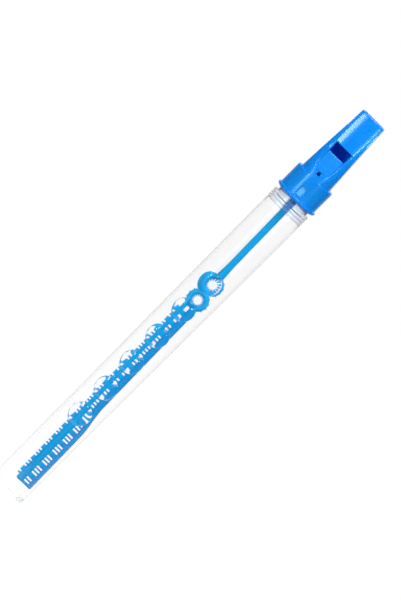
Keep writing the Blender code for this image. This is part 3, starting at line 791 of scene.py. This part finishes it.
def neck_profile():
    """Outside of the neck with its sealing beads, from the rim down to the collar."""
    pitch = NECK_LENGTH / (NECK_BEADS + 1)
    points = arc((NECK_RADIUS - RIM_ROUND, NECK_TOP - RIM_ROUND), RIM_ROUND, 90, 0)
    for i in range(NECK_BEADS):
        middle = NECK_TOP - (i + 1) * pitch
        for share in spread(0.0, 1.0, ARC_STEPS):
            rise = NECK_BEAD_RISE * math.sin(math.pi * share) ** 2
            points.append((NECK_RADIUS + rise, middle + (0.5 - share) * NECK_BEAD_WIDTH))
    return points + [(NECK_RADIUS, TUBE_LENGTH)]


class TubeShell:
    """The tube's two skins, row by row from the neck down, with a finer tile of mesh round each bubble."""

    def __init__(self):
        self.bm = bmesh.new()
        self.shape = settings().shape
        self.inset = 0.0
        self.tile_half = math.radians(TILE_HALF_DEG)
        front = spread(-self.tile_half, self.tile_half, TILE_STEPS)[:-1]
        rest = 2 * math.pi - 2 * self.tile_half
        back = [self.tile_half + rest * i / BACK_STEPS for i in range(BACK_STEPS)]
        self.turns = front + back

    def radius(self, height):
        """Radius of the skin that is being made, without its bubbles."""
        return tube_radius(height) - self.inset

    def point(self, turn, radius, height):
        """A vertex at an angle from the front."""
        return self.bm.verts.new((radius * math.sin(turn), -radius * math.cos(turn), height))

    def row(self, radius, height):
        """A full ring of vertices, or the same one on the axis."""
        if radius < ON_AXIS:
            return [self.bm.verts.new((0.0, 0.0, height))] * len(self.turns)
        return [self.point(turn, radius, height) for turn in self.turns]

    def add_rows(self, profile, start=None):
        """Adds rings down a profile, joined to a ring that is there already, and returns all of them."""
        rings = [start] if start else []
        for radius, height in profile:
            rings.append(self.row(radius, height))
        for upper, lower in zip(rings, rings[1:]):
            bridge(self.bm, upper, lower)
        return rings

    def belt(self, heights, start):
        """Adds plain rings at some heights below a ring, and returns the last one."""
        return self.add_rows([(self.radius(height), height) for height in heights], start)[-1]

    def wall(self, start, top, bottom):
        """The skin with its row of bubbles, from a ring at the top height down; returns the last ring."""
        shape = self.shape
        middles = [shape.lens_first + i * shape.lens_pitch for i in range(shape.lens_count)][::-1]
        first = middles[0] + shape.lens_pitch / 2
        last = middles[-1] - shape.lens_pitch / 2
        ring = self.belt(spread(top, first, BELT_STEPS)[1:], start)
        for middle in middles:
            ring = self.tile(ring, middle)
        return self.belt(spread(last, bottom, BELT_STEPS)[1:-1], ring)

    def bump(self, across, up):
        """How far a bubble stands out at a place on its tile."""
        share = math.hypot(across, up) / self.lens_radius()
        rise = self.shape.lens_rise * (self.shape.lens_hollow if self.inset else 1.0)
        return rise * max(1 - share ** self.shape.lens_fullness, 0.0)

    def lens_radius(self):
        """Radius of a bubble's rim, a little smaller on the inner skin."""
        return self.shape.lens_diameter / 2 - LENS_INSET_SHARE * self.inset

    def tile(self, top_row, middle):
        """One bubble with the belt of the tube round it, from a ring above down to a new ring."""
        half = self.shape.lens_pitch / 2
        count = TILE_STEPS
        heights = [middle + half * (1 - 2 * i / count) for i in range(count + 1)]
        bottom_row = self.row(self.radius(heights[-1]), heights[-1])
        side = [top_row[count:] + top_row[:1]]
        for height in heights[1:-1]:
            turns = self.turns[count:] + [2 * math.pi - self.tile_half]
            side.append([self.point(turn, self.radius(height), height) for turn in turns])
        side.append(bottom_row[count:] + bottom_row[:1])
        for upper, lower in zip(side, side[1:]):
            bridge(self.bm, upper, lower, loop=False)
        border = bottom_row[:count] + [row[0] for row in side[:0:-1]]
        border += top_row[count:0:-1] + [row[-1] for row in side[:-1]]
        self.lens(border, middle)
        return bottom_row

    def lens(self, border, middle):
        """Fills a tile's border with rings that close on the bubble's rim and then on its middle."""
        radius = self.radius(middle)
        flat = []
        for vert in border:
            flat.append(Vector((math.atan2(vert.co.x, -vert.co.y) * radius, vert.co.z - middle)))
        rim = [place.normalized() * self.lens_radius() for place in flat]
        rings = []
        for i in range(1, TILE_RINGS + 1):
            rings.append([place.lerp(edge, i / TILE_RINGS) for place, edge in zip(flat, rim)])
        for i in range(1, LENS_RINGS):
            share = math.cos(math.pi / 2 * i / LENS_RINGS)
            rings.append([edge * share for edge in rim])
        last = border
        for ring in rings:
            verts = [self.surface(place, middle, radius) for place in ring]
            bridge(self.bm, last, verts)
            last = verts
        bridge(self.bm, last, [self.surface(Vector((0.0, 0.0)), middle, radius)] * len(last))

    def surface(self, place, middle, radius):
        """A vertex on the tube or its bubble, from a place on the unrolled tile."""
        height = middle + place.y
        return self.point(place.x / radius, self.radius(height) + self.bump(place.x, place.y), height)


def tube_mesh():
    """Clear tube: neck, collar, wall with bubbles, base and bore in one closed skin."""
    shell = TubeShell()
    outside = shell.add_rows(neck_profile() + collar_profile())
    last = shell.wall(outside[-1], COLLAR_FOOT, HEEL_ROUND)
    base = arc((TUBE_BASE_RADIUS - HEEL_ROUND, HEEL_ROUND), HEEL_ROUND, 0, -90)
    base += [(BASE_RECESS_RADIUS, 0.0), (BASE_RECESS_RADIUS - BASE_RECESS_DEPTH, BASE_RECESS_DEPTH)]
    base.append((0.0, BASE_RECESS_DEPTH))
    shell.add_rows(base, last)

    shell.inset = TUBE_WALL
    floor = TUBE_FLOOR + BASE_RECESS_DEPTH
    heel = HEEL_ROUND / 2
    shoulder = TUBE_LENGTH - SHOULDER_DROP
    inside = shell.add_rows([
        (NECK_BORE + RIM_CHAMFER, NECK_TOP),
        (NECK_BORE, NECK_TOP - RIM_CHAMFER),
        (NECK_BORE, TUBE_LENGTH),
        (shell.radius(shoulder), shoulder),
    ])
    last = shell.wall(inside[-1], shoulder, floor + heel)
    shell.add_rows(arc((shell.radius(floor) - heel, floor + heel), heel, 0, -90) + [(0.0, floor)], last)
    bridge(shell.bm, outside[0], inside[0])
    return shell.bm


# Whistle cap


def beak_share(height):
    """How far up the mouthpiece a height lies: 0 at its root, 1 at its tip."""
    return (height - SKIRT_TOP) / (TIP - SKIRT_TOP)


def beak_taper(height):
    """How far the mouthpiece has narrowed to its tip, a little more than straight so that it is hollowed."""
    t = beak_share(height)
    return t + BEAK_HOLLOW * t * (1 - t)


def beak_half_width(height):
    """Half the mouthpiece's width."""
    return mix(BEAK_ROOT_HALF, BEAK_TIP_HALF, beak_taper(height))


def beak_front(height):
    """Place of the mouthpiece's front face along Y."""
    return mix(-BEAK_ROOT_FRONT, -TIP_FRONT, beak_share(height))


def beak_back(height):
    """Place of the mouthpiece's back along Y."""
    return mix(BEAK_ROOT_HALF, TIP_BACK, beak_taper(height))


def beak_corner(height):
    """Corner radius of the mouthpiece: round at the root, then quickly a rounded oblong."""
    return mix(TIP_CORNER, BEAK_ROOT_HALF, max(1 - beak_share(height), 0.0) ** 3)


def beak_crown(height):
    """How much the mouthpiece's front is crowned, as 1 / radius."""
    return smooth_step(SKIRT_TOP, SKIRT_TOP + CROWN_RUN, height) / CROWN_RADIUS


def lip_depth():
    """Place of the lip along Y: in line with the middle of the windway."""
    return beak_front(LIP) + FRONT_PLATE + WINDWAY_HEIGHT / 2


def rounded_section(half_width, front, back, corner, height, crown=0.0):
    """A ring round a level section with four round corners and a front that is crowned by 1 / radius."""
    corner = min(corner, CORNER_LIMIT * half_width, CORNER_LIMIT * (back - front) / 2)
    reach = half_width - corner
    corners = (
        ((reach, front + corner), -90),
        ((reach, back - corner), 0),
        ((-reach, back - corner), 90),
        ((-reach, front + corner), 180),
    )
    points = []
    for centre, start in corners:
        points += arc(centre, corner, start, start + 90, CORNER_STEPS)
    points += [(x, front) for x in spread(-reach, reach, CORNER_STEPS)[1:-1]]
    ring = []
    for x, y in points:
        share = min(max((front + corner - y) / corner, 0.0), 1.0)
        ring.append(Vector((x, y + share * crown * x * x / 2, height)))
    return ring


def beak_section(height):
    """Outside of the mouthpiece at one height."""
    return rounded_section(
        beak_half_width(height), beak_front(height), beak_back(height), beak_corner(height), height,
        beak_crown(height))


def chamber_section(height):
    """Sound chamber at one height: round over the ledge, closing on the lip of the window."""
    t = (height - LEDGE) / (LIP - LEDGE)
    front = mix(beak_front(LEDGE) + BEAK_WALL, lip_depth() + LIP_THICKNESS, t)
    return rounded_section(
        beak_half_width(height) - BEAK_WALL, front, beak_back(height) - BEAK_WALL,
        beak_corner(height) - BEAK_WALL, height)


def seat_section(height, gap=0.0):
    """Seat of the fipple plug at one height, or the plug itself when a gap is taken off."""
    return rounded_section(
        beak_half_width(height) - BEAK_WALL - gap,
        beak_front(height) + FRONT_PLATE + gap,
        beak_back(height) - BEAK_WALL - gap,
        max(beak_corner(height) - BEAK_WALL, PLUG_CHEEK),
        height)


def raised(ring, distance):
    """A ring moved up by a distance."""
    return [point + Vector((0.0, 0.0, distance)) for point in ring]


def hollow_rings():
    """Rings up the hollow of the mouthpiece: the sound chamber, then the seat of the fipple plug."""
    run_on = SOUND_WINDOW_HEIGHT / 3
    chamber = [chamber_section(height) for height in spread(LEDGE, LIP + run_on)]
    seat = [seat_section(height) for height in spread(BLOCK - run_on, TIP)]
    return [raised(chamber[0], -CHAMBER_RUN_OUT)] + chamber + seat + [raised(seat[-1], CUT_PAST)]


def skirt_profile():
    """Skirt and rounded flange of the cap as a solid, from the top down."""
    bulge = FLANGE_HEIGHT / 2
    top_round = arc((SKIRT_RADIUS - SKIRT_ROUND, SKIRT_TOP - SKIRT_ROUND), SKIRT_ROUND, 90, 0)
    flange = arc((SKIRT_RADIUS, SKIRT_BOTTOM + bulge), FLANGE_LIP, FLANGE_ARC_DEG, -FLANGE_ARC_DEG)
    return [(0.0, SKIRT_TOP)] + top_round + [(SKIRT_RADIUS, FLANGE_TOP)] + flange + [
        (SKIRT_RADIUS, SKIRT_BOTTOM), (0.0, SKIRT_BOTTOM)]


def tone_hole():
    """A round cutter through the front wall at the foot of the ramp."""
    bm = bmesh.new()
    forward = Matrix.Rotation(math.radians(90), 4, "X")
    bmesh.ops.create_cone(
        bm, cap_ends=True, segments=TONE_HOLE_STEPS, radius1=TONE_HOLE_RADIUS, radius2=TONE_HOLE_RADIUS,
        depth=BEAK_ROOT_FRONT, matrix=Matrix.Translation((0.0, -BEAK_ROOT_FRONT, TONE_HOLE_HEIGHT)) @ forward)
    return bm


def skirt_window():
    """A box cutter through the front of the skirt."""
    bottom = SKIRT_WINDOW_BOTTOM
    top = bottom + SKIRT_WINDOW_HEIGHT
    front = -FLANGE_RADIUS
    back = -SKIRT_BORE / 2
    return prism([(front, bottom), (back, bottom), (back, top), (front, top)], SKIRT_WINDOW_WIDTH / 2)


def slot_ring(height, half, floor, knee):
    """Section of the cutter for ramp and window at one height, flared so that it leaves round long edges.

    The side walls have a point at the depth of the knee, where the lip's underside ends.
    """
    slope = math.atan(beak_crown(height) * half)
    surface = beak_front(height) + beak_crown(height) * half ** 2 / 2
    edge = min(max(RAMP_EDGE_SHARE * (floor - surface), RAMP_EDGE_LEAST), RAMP_EDGE_ROUND)
    middle = (half + edge, min(surface + edge * (math.tan(slope) + 1 / math.cos(slope)), floor))
    side = [(half, floor), (half, knee)] + arc(middle, edge, 180, 270 + math.degrees(slope))
    side.append((side[-1][0] + CUT_PAST * math.sin(slope), side[-1][1] - CUT_PAST * math.cos(slope)))
    other = [(-x, y) for x, y in reversed(side)]
    return [Vector((x, y, height)) for x, y in side + other]


def ramp_and_window():
    """A cutter for the ramp that rises to the lip and the sound window above it."""
    half = SOUND_WINDOW_WIDTH / 2
    rings = []
    for share in spread(0.0, 1.0):
        ramp = mix(beak_front(RAMP_FOOT), lip_depth(), share)
        rings.append(slot_ring(mix(RAMP_FOOT, LIP, share), half, ramp, ramp))
    window_floor = lip_depth() + LIP_THICKNESS + WINDWAY_HEIGHT
    rings.append(slot_ring(LIP, half, window_floor, lip_depth()))
    for x, height in arc((half - WINDOW_CORNER, BLOCK - WINDOW_CORNER), WINDOW_CORNER, 0, 90):
        knee = lip_depth() + beak_front(height) - beak_front(LIP)
        rings.append(slot_ring(height, x, window_floor, knee))
    bm = loft(rings)
    bmesh.ops.remove_doubles(bm, verts=bm.verts, dist=SAME_PLACE)
    return bm


def cap_mesh():
    """Whistle cap: skirt with flange, mouthpiece, sound chamber, lip and windway roof."""
    outer = [beak_section(height) for height in spread(SKIRT_TOP, TIP)]
    root = raised(outer[0], LEDGE - SKIRT_TOP)
    below = SKIRT_BOTTOM - CUT_PAST
    skirt_bore = turned([(0.0, LEDGE), (SKIRT_BORE, LEDGE), (SKIRT_BORE, below), (0.0, below)])
    bm = combined("cap_blank", turned(skirt_profile()), [
        (loft([root] + outer), "UNION"),
        (skirt_bore, "DIFFERENCE"),
        (loft(hollow_rings()), "DIFFERENCE"),
        (ramp_and_window(), "DIFFERENCE"),
        (skirt_window(), "DIFFERENCE"),
        (tone_hole(), "DIFFERENCE"),
    ])
    round_edges(bm, settings().shape.cap_edge, CAP_EDGE_BEND)
    return bm


def plug_mesh():
    """Fipple plug that fills the mouthpiece and leaves the windway over its grooved front."""
    rings = [seat_section(height, FIT_GAP) for height in spread(BLOCK, plug_high.z)]
    ends = (BLOCK - CUT_PAST, TIP + CUT_PAST)
    groove = [(beak_front(height) + FRONT_PLATE + WINDWAY_HEIGHT, height) for height in ends]
    groove += [(beak_front(height) - CUT_PAST, height) for height in reversed(ends)]
    cutter = prism(groove, SOUND_WINDOW_WIDTH / 2 - FIT_GAP)
    bm = combined("plug_blank", loft(rings), [(cutter, "DIFFERENCE")])
    round_edges(bm, PLUG_EDGE, PLUG_EDGE_BEND)
    return bm


# Seal and wand holder


def seal_mesh():
    """Soft seal: the washer on the rim and the sleeve between neck and skirt, with soft corners."""
    soft = SEAL_ROUND
    bottom = seal_low.z
    top = seal_high.z
    roof = top - SEAL_WASHER
    profile = arc((SLEEVE_RADIUS - soft, top - soft), soft, 90, 0)
    profile += arc((SLEEVE_RADIUS - soft, bottom + soft), soft, 0, -90)
    profile += arc((SLEEVE_BORE + soft, bottom + soft), soft, -90, -180)
    profile += [(SLEEVE_BORE, roof), (NECK_BORE + soft, roof)]
    profile += arc((NECK_BORE + soft, top - soft), soft, 180, 90)
    return turned(profile, closed=True)


def holder_mesh():
    """Disc that closes the sound chamber, with the socket for the wand under it."""
    radius = holder_high.x
    soft = HOLDER_ROUND
    profile = [(0.0, HOLDER_TOP)]
    profile += arc((radius - soft, HOLDER_TOP - soft), soft, 90, 0)
    profile += arc((radius - soft, HOLDER_BOTTOM + soft), soft, 0, -90)
    profile += arc((BOSS_RADIUS + soft, HOLDER_BOTTOM - soft), soft, 90, 180)
    profile += arc((BOSS_RADIUS - soft, BOSS_BOTTOM + soft), soft, 0, -90)
    profile += [(SOCKET_RADIUS, BOSS_BOTTOM), (SOCKET_RADIUS, SOCKET_TOP), (0.0, SOCKET_TOP)]
    return turned(profile)


# Wand


def flare(height):
    """Share of the wide end in the blade's outline: 1 near the end of the wand, 0 above the bend."""
    return 1 - smooth_step(FLARE_BOTTOM, FLARE_TOP, height)


def left_rail(height):
    """Middle line and radius of the toothed rail."""
    inner = mix(SLOT_LEFT, FLARE_SLOT_LEFT, flare(height))
    return (inner - BLADE_LEFT) / 2, (inner + BLADE_LEFT) / 2


def right_rail(height):
    """Middle line and radius of the smooth rail."""
    inner = mix(SLOT_RIGHT, FLARE_RIGHT - FLARE_RAIL_THICKNESS, flare(height))
    outer = mix(BLADE_RIGHT, FLARE_RIGHT, flare(height))
    return (inner + outer) / 2, (outer - inner) / 2


def rail_path(rail):
    """Points (x, height, radius) down one rail, from inside the lower hoop to its rounded end."""
    top = LOWER_HOOP_CENTRE - math.sqrt(HOOP_RADIUS ** 2 - rail(LOWER_HOOP_CENTRE)[0] ** 2)
    path = []
    for height in [top] + spread(FLARE_TOP, FLARE_BOTTOM):
        middle, radius = rail(height)
        path.append((middle, height, radius))
    middle, radius = rail(WAND_END)
    end = arc((radius - END_ROUND, WAND_END + END_ROUND), END_ROUND, 0, -90)
    return path + [(middle, height, reach) for reach, height in end]


def rails_mesh():
    """The two rails of the blade as round bars."""
    curve = bpy.data.curves.new("wand_rails", "CURVE")
    curve.dimensions = "3D"
    curve.bevel_depth = RAIL_UNIT
    curve.bevel_resolution = RAIL_STEPS
    curve.use_fill_caps = True
    for rail in (left_rail, right_rail):
        points = rail_path(rail)
        spline = curve.splines.new("POLY")
        spline.points.add(len(points) - 1)
        for point, (x, height, radius) in zip(spline.points, points):
            point.co = (x, 0.0, height, 1.0)
            point.radius = radius / curve.bevel_depth
    obj = bpy.data.objects.new("wand_rails", curve)
    bpy.context.scene.collection.objects.link(obj)
    bm = evaluated_bmesh(obj)
    bmesh.ops.remove_doubles(bm, verts=bm.verts, dist=RAIL_WELD)
    bpy.data.objects.remove(obj)
    bpy.data.curves.remove(curve)
    return bm


def fins_mesh():
    """Thick bars and pairs of thin fins across the rails, whose ends stand out as teeth, and the end bar."""
    shape = settings().shape
    bm = bmesh.new()
    low = (left_rail(WAND_END)[0], -FIN_DEPTH / 2, WAND_END + END_BAR_INSET)
    high = (right_rail(WAND_END)[0], FIN_DEPTH / 2, WAND_END + END_BAR_THICKNESS)
    add_bar(bm, low, high, shape.fin_edge)
    last = LOWER_HOOP_CENTRE - HOOP_RADIUS - HOOP_THICKNESS / 2 - BAR_PITCH / 2
    bars = int((last - FIRST_BAR) / BAR_PITCH) + 1
    heights = [(FIRST_BAR + i * BAR_PITCH, BAR_THICKNESS) for i in range(bars)]
    for i in range(bars):
        middle = FIRST_BAR + (i - 0.5) * BAR_PITCH
        # The lowest pair has only its upper fin, above the end bar
        sides = (-1, 1) if i else (1,)
        heights += [(middle + side * FIN_PITCH / 2, FIN_THICKNESS) for side in sides]
    for height, thickness in heights:
        low = (-BLADE_LEFT - shape.tooth_length, -FIN_DEPTH / 2, height - thickness / 2)
        middle, radius = right_rail(height)
        high = (middle + radius * FIN_ROOT, FIN_DEPTH / 2, height + thickness / 2)
        add_bar(bm, low, high, shape.fin_edge)
    return bm


def hoop_mesh(height):
    """A round hoop facing -Y."""
    section = arc((0.0, 0.0), HOOP_THICKNESS / 2, 90, -270, HOOP_SECTION_STEPS)[:-1]
    bm = turned([(HOOP_RADIUS + x, z) for x, z in section], closed=True, steps=HOOP_STEPS)
    bm.transform(Matrix.Translation((0.0, 0.0, height)) @ Matrix.Rotation(math.radians(90), 4, "X"))
    return bm


def hoop_ribs(height):
    """Ribs that stand a little past the inner and outer edge of a hoop."""
    bm = bmesh.new()
    reach = HOOP_THICKNESS / 2 + HOOP_RIB_RISE
    for i in range(HOOP_RIBS):
        angle = 2 * math.pi * (i + HOOP_RIB_TURN) / HOOP_RIBS
        turn = Matrix.Translation((0.0, 0.0, height)) @ Matrix.Rotation(angle, 4, "Y")
        low = (HOOP_RADIUS - reach, -FIN_DEPTH / 2, -HOOP_RIB_WIDTH / 2)
        high = (HOOP_RADIUS + reach - HOOP_RIB_RISE / 2, FIN_DEPTH / 2, HOOP_RIB_WIDTH / 2)
        add_bar(bm, low, high, settings().shape.fin_edge, turn)
    return bm


def wand_mesh():
    """Dipping wand: spigot, rod, two hoops and the ribbed blade, a little askew in its socket."""
    lean = settings().shape.wand_lean
    play = (SOCKET_TOP - BOSS_BOTTOM) / 2 * math.tan(lean)
    spigot = SOCKET_RADIUS - FIT_GAP - play
    profile = [
        (0.0, SOCKET_TOP - 2 * FIT_GAP),
        (spigot, SOCKET_TOP - 2 * FIT_GAP),
        (spigot, ROD_TOP),
        (ROD_RADIUS, ROD_TOP),
        (ROD_RADIUS, UPPER_HOOP + ROD_FLARE_LENGTH),
        (ROD_FLARE_RADIUS, UPPER_HOOP),
        (0.0, UPPER_HOOP),
    ]
    bm = combined("wand_blank", turned(profile, steps=ROD_STEPS), [
        (hoop_mesh(UPPER_HOOP_CENTRE), "UNION"),
        (hoop_mesh(LOWER_HOOP_CENTRE), "UNION"),
        (rails_mesh(), "UNION"),
        (fins_mesh(), "UNION"),
        (hoop_ribs(UPPER_HOOP_CENTRE), "UNION"),
        (hoop_ribs(LOWER_HOOP_CENTRE), "UNION"),
    ])
    pivot = Matrix.Translation((0.0, 0.0, SOCKET_MIDDLE))
    bm.transform(pivot @ Matrix.Rotation(-lean, 4, "Y") @ pivot.inverted())
    return bm


# Camera, room, floor and lamps


def photo_camera():
    """A long-lens camera that sees the whistle as the photograph does."""
    stage = settings().stage
    data = bpy.data.cameras.new("photo_camera")
    data.type = "PERSP"
    data.lens = stage.lens
    data.sensor_fit = "AUTO"
    data.clip_end = CAMERA_REACH
    back = Vector((
        math.sin(stage.azimuth) * math.cos(stage.elevation),
        -math.cos(stage.azimuth) * math.cos(stage.elevation),
        math.sin(stage.elevation)))
    across = Vector((math.cos(stage.azimuth), math.sin(stage.azimuth), 0.0))
    along = back.cross(across)
    turn = math.radians(PHOTO_AXIS_DEG)
    right = across * math.sin(turn) + along * math.cos(turn)
    up = along * math.sin(turn) - across * math.cos(turn)
    pixel = PHOTO_MM_PER_PIXEL * MM * math.cos(stage.elevation)
    to_right = PHOTO_WIDTH / 2 - PHOTO_ZERO[0]
    to_top = PHOTO_ZERO[1] - PHOTO_HEIGHT / 2
    target = (right * to_right + up * to_top) * pixel
    distance = PHOTO_HEIGHT * pixel * data.lens / data.sensor_width
    camera = bpy.data.objects.new("photo_camera", data)
    bpy.context.scene.collection.objects.link(camera)
    axes = Matrix((right, up, back)).transposed()
    camera.matrix_world = Matrix.Translation(target + back * distance) @ axes.to_4x4()
    bpy.context.scene.camera = camera


class LightPath:
    """The kind of ray that meets the world or the floor, so that both look white and still light softly."""

    def __init__(self, sheet):
        def part(output):
            return sheet.node("ShaderNodeLightPath", output=output)

        self.sheet = sheet
        self.first_look = part("Diffuse Depth") < NO_BOUNCE
        self.straight = part("Is Camera Ray")
        self.through = part("Is Transmission Ray")
        self.mirrored = part("Is Glossy Ray") * (1 - self.through)
        self.both_walls = part("Transmission Depth") > ONE_WALL

    def seen(self, direction):
        """White that shows to the camera and through the tube, with a dark front where a wall mirrors it."""
        stage = settings().stage
        depth = self.sheet.axis(direction, "Y")
        in_wall = mix(stage.room_front, 1.0, self.sheet.rise(depth, GLASS_REACH, "LINEAR"))
        in_glass = mix(in_wall, 1.0, self.both_walls)
        in_gloss = mix(stage.gloss_front, 1.0, self.sheet.rise(depth, GLOSS_REACH, "LINEAR"))
        return self.straight + self.through * in_glass + self.mirrored * in_gloss


def white_room():
    """A world that is seen as white and lights the pieces softly."""
    stage = settings().stage
    world = bpy.data.worlds.new("white_room")
    world.use_nodes = True
    # Its white depends on the kind of ray, so it isn't sampled as a lamp
    world.cycles.sampling_method = "NONE"
    sheet = NodeSheet(world.node_tree)
    path = LightPath(sheet)
    seen = path.seen(sheet.node("ShaderNodeTexCoord", output="Generated"))
    any_look = path.straight + path.through + path.mirrored
    strength = stage.ambient + path.first_look * (seen - any_look * stage.ambient)
    light = sheet.node("ShaderNodeBackground", None, {"Color": WHITE, "Strength": strength})
    sheet.node("ShaderNodeOutputWorld", None, {"Surface": light})
    bpy.context.scene.world = world


def floor_finish():
    """A white floor that keeps the whistle's shadow."""
    stage = settings().stage
    material, sheet, place = new_finish("white_floor")
    diffuse = sheet.node("ShaderNodeBsdfDiffuse", None, {"Color": stage.floor_colour})
    path = LightPath(sheet)
    shift = (0.0, FLOOR_SHIFT, 0.0)
    from_front = sheet.node("ShaderNodeVectorMath", {"operation": "ADD"}, {0: place, 1: shift})
    direction = sheet.node("ShaderNodeVectorMath", {"operation": "NORMALIZE"}, {0: from_front})
    glow = sheet.node("ShaderNodeEmission", None, {
        "Color": WHITE, "Strength": path.seen(direction) * path.first_look * stage.floor_glow})
    sheet.surface(sheet.node("ShaderNodeAddShader", None, {0: diffuse, 1: glow}))
    return material


def white_floor():
    """A wide floor just under the base."""
    bm = bmesh.new()
    below = Matrix.Translation((0.0, 0.0, -FLOOR_DROP))
    bmesh.ops.create_grid(bm, x_segments=1, y_segments=1, size=FLOOR_HALF, matrix=below)
    floor = mesh_object("floor", bm)
    floor.data.materials.append(floor_finish())
    # Its white is for the eye and doesn't light the pieces from below
    floor.visible_diffuse = False


def area_light(name, lamp, power, colour=WHITE):
    """A rectangular soft light, turned to a height on the whistle's axis."""
    place, aim, size = lamp
    data = bpy.data.lights.new(name, "AREA")
    data.shape = "RECTANGLE"
    data.size, data.size_y = size
    data.energy = power
    data.color = colour
    light = bpy.data.objects.new(name, data)
    bpy.context.scene.collection.objects.link(light)
    light.location = place
    light.rotation_mode = "QUATERNION"
    light.rotation_quaternion = (Vector((0.0, 0.0, aim)) - Vector(place)).to_track_quat("-Z", "Y")


# Operators, one for each piece or pair of pieces and one for the stage


class WHISTLE_OT_tube(bpy.types.Operator):
    """Make the clear tube with its lenses, collar and neck"""
    bl_idname = "bubble_whistle.tube"
    bl_label = "Clear tube"

    def execute(self, context):
        tube = mesh_object("clear_tube", tube_mesh())
        dress(tube, "tube", "tube", clear_plastic())
        # The clear wall doesn't keep the room's soft light from the wand
        tube.visible_diffuse = False
        return {"FINISHED"}


class WHISTLE_OT_seal(bpy.types.Operator):
    """Make the soft seal between neck and cap"""
    bl_idname = "bubble_whistle.seal"
    bl_label = "Soft seal"

    def execute(self, context):
        seal = mesh_object("soft_seal", seal_mesh())
        dress(seal, "seal_sleeve", "seal", milky_seal())
        return {"FINISHED"}


class WHISTLE_OT_cap(bpy.types.Operator):
    """Make the whistle cap with its mouthpiece, window and skirt"""
    bl_idname = "bubble_whistle.cap"
    bl_label = "Whistle cap"

    def execute(self, context):
        finish = settings().finish
        blue = moulded_plastic("blue_plastic", finish.cap_colour, finish.cap_shade, finish.gloss_roughness)
        cap = mesh_object("cap", cap_mesh())
        dress(cap, "whistle_cap", "whistle", blue)
        flat_normals(cap)
        return {"FINISHED"}


class WHISTLE_OT_inner(bpy.types.Operator):
    """Make the fipple plug and the wand holder inside the cap"""
    bl_idname = "bubble_whistle.inner"
    bl_label = "Plug and holder"

    def execute(self, context):
        colour = settings().finish.inner_colour
        shade = darker(colour, INNER_SHADE)
        plug_blue = moulded_plastic("plug_blue", colour, shade, INNER_ROUGHNESS)
        plug = mesh_object("plug", plug_mesh())
        dress(plug, "fipple_plug", "whistle", plug_blue)
        flat_normals(plug)
        holder_blue = moulded_plastic("holder_blue", colour, shade, INNER_ROUGHNESS)
        holder = mesh_object("holder", holder_mesh())
        dress(holder, "wand_holder", "whistle", holder_blue)
        return {"FINISHED"}


class WHISTLE_OT_wand(bpy.types.Operator):
    """Make the dipping wand with its rod, hoops and ribbed blade"""
    bl_idname = "bubble_whistle.wand"
    bl_label = "Dipping wand"

    def execute(self, context):
        finish = settings().finish
        # The wand's smooth rail gets painted shade in the rail blue
        blue = moulded_plastic(
            "wand_blue", finish.wand_colour, finish.wand_rail_painted_shade, WAND_ROUGHNESS,
            specular=WAND_SPECULAR, glow=0.0, rail=True)
        wand = mesh_object("dipping_wand", wand_mesh())
        dress(wand, "wand", "whistle", blue)
        return {"FINISHED"}


class WHISTLE_OT_stage(bpy.types.Operator):
    """Make the camera, the lights, the white room and the floor"""
    bl_idname = "bubble_whistle.stage"
    bl_label = "Stage"

    def execute(self, context):
        stage = settings().stage
        photo_camera()
        white_room()
        area_light("front", FRONT_LAMP, stage.front_power)
        area_light("rear", REAR_LAMP, stage.rear_power)
        area_light("key", KEY_LAMP, stage.key_power, stage.key_colour)
        area_light("skirt_glint", GLINT_LAMP, stage.glint_power, stage.glint_colour)
        area_light("fill", FILL_LAMP, stage.fill_power, stage.glint_colour)
        white_floor()
        context.scene.view_settings.view_transform = "Standard"
        return {"FINISHED"}


OPERATORS = (
    WHISTLE_OT_tube, WHISTLE_OT_seal, WHISTLE_OT_cap, WHISTLE_OT_inner, WHISTLE_OT_wand, WHISTLE_OT_stage)


class WHISTLE_PT_panel(bpy.types.Panel):
    """Lists the pieces and their settings"""
    bl_label = "Bubble whistle"
    bl_idname = "WHISTLE_PT_panel"
    bl_space_type = "VIEW_3D"
    bl_region_type = "UI"
    bl_category = "Bubble whistle"

    def draw(self, context):
        for operator in OPERATORS:
            self.layout.operator(operator.bl_idname)
        for group in (settings().shape, settings().finish, settings().stage):
            box = self.layout.box()
            for name in group.__annotations__:
                box.prop(group, name)


CLASSES = (WhistleShape, WhistleFinish, WhistleStage, WhistleSettings) + OPERATORS + (WHISTLE_PT_panel,)


def register():
    """Adds the classes and the scene's settings to Blender."""
    for cls in CLASSES:
        bpy.utils.register_class(cls)
    bpy.types.Scene.bubble_whistle = PointerProperty(type=WhistleSettings)


def unregister():
    """Takes the settings and the classes out of Blender again."""
    del bpy.types.Scene.bubble_whistle
    for cls in reversed(CLASSES):
        bpy.utils.unregister_class(cls)


def main():
    """Makes every piece and the stage."""
    register()
    bpy.ops.bubble_whistle.tube()
    bpy.ops.bubble_whistle.seal()
    bpy.ops.bubble_whistle.cap()
    bpy.ops.bubble_whistle.inner()
    bpy.ops.bubble_whistle.wand()
    bpy.ops.bubble_whistle.stage()


if __name__ == "__main__":
    main()
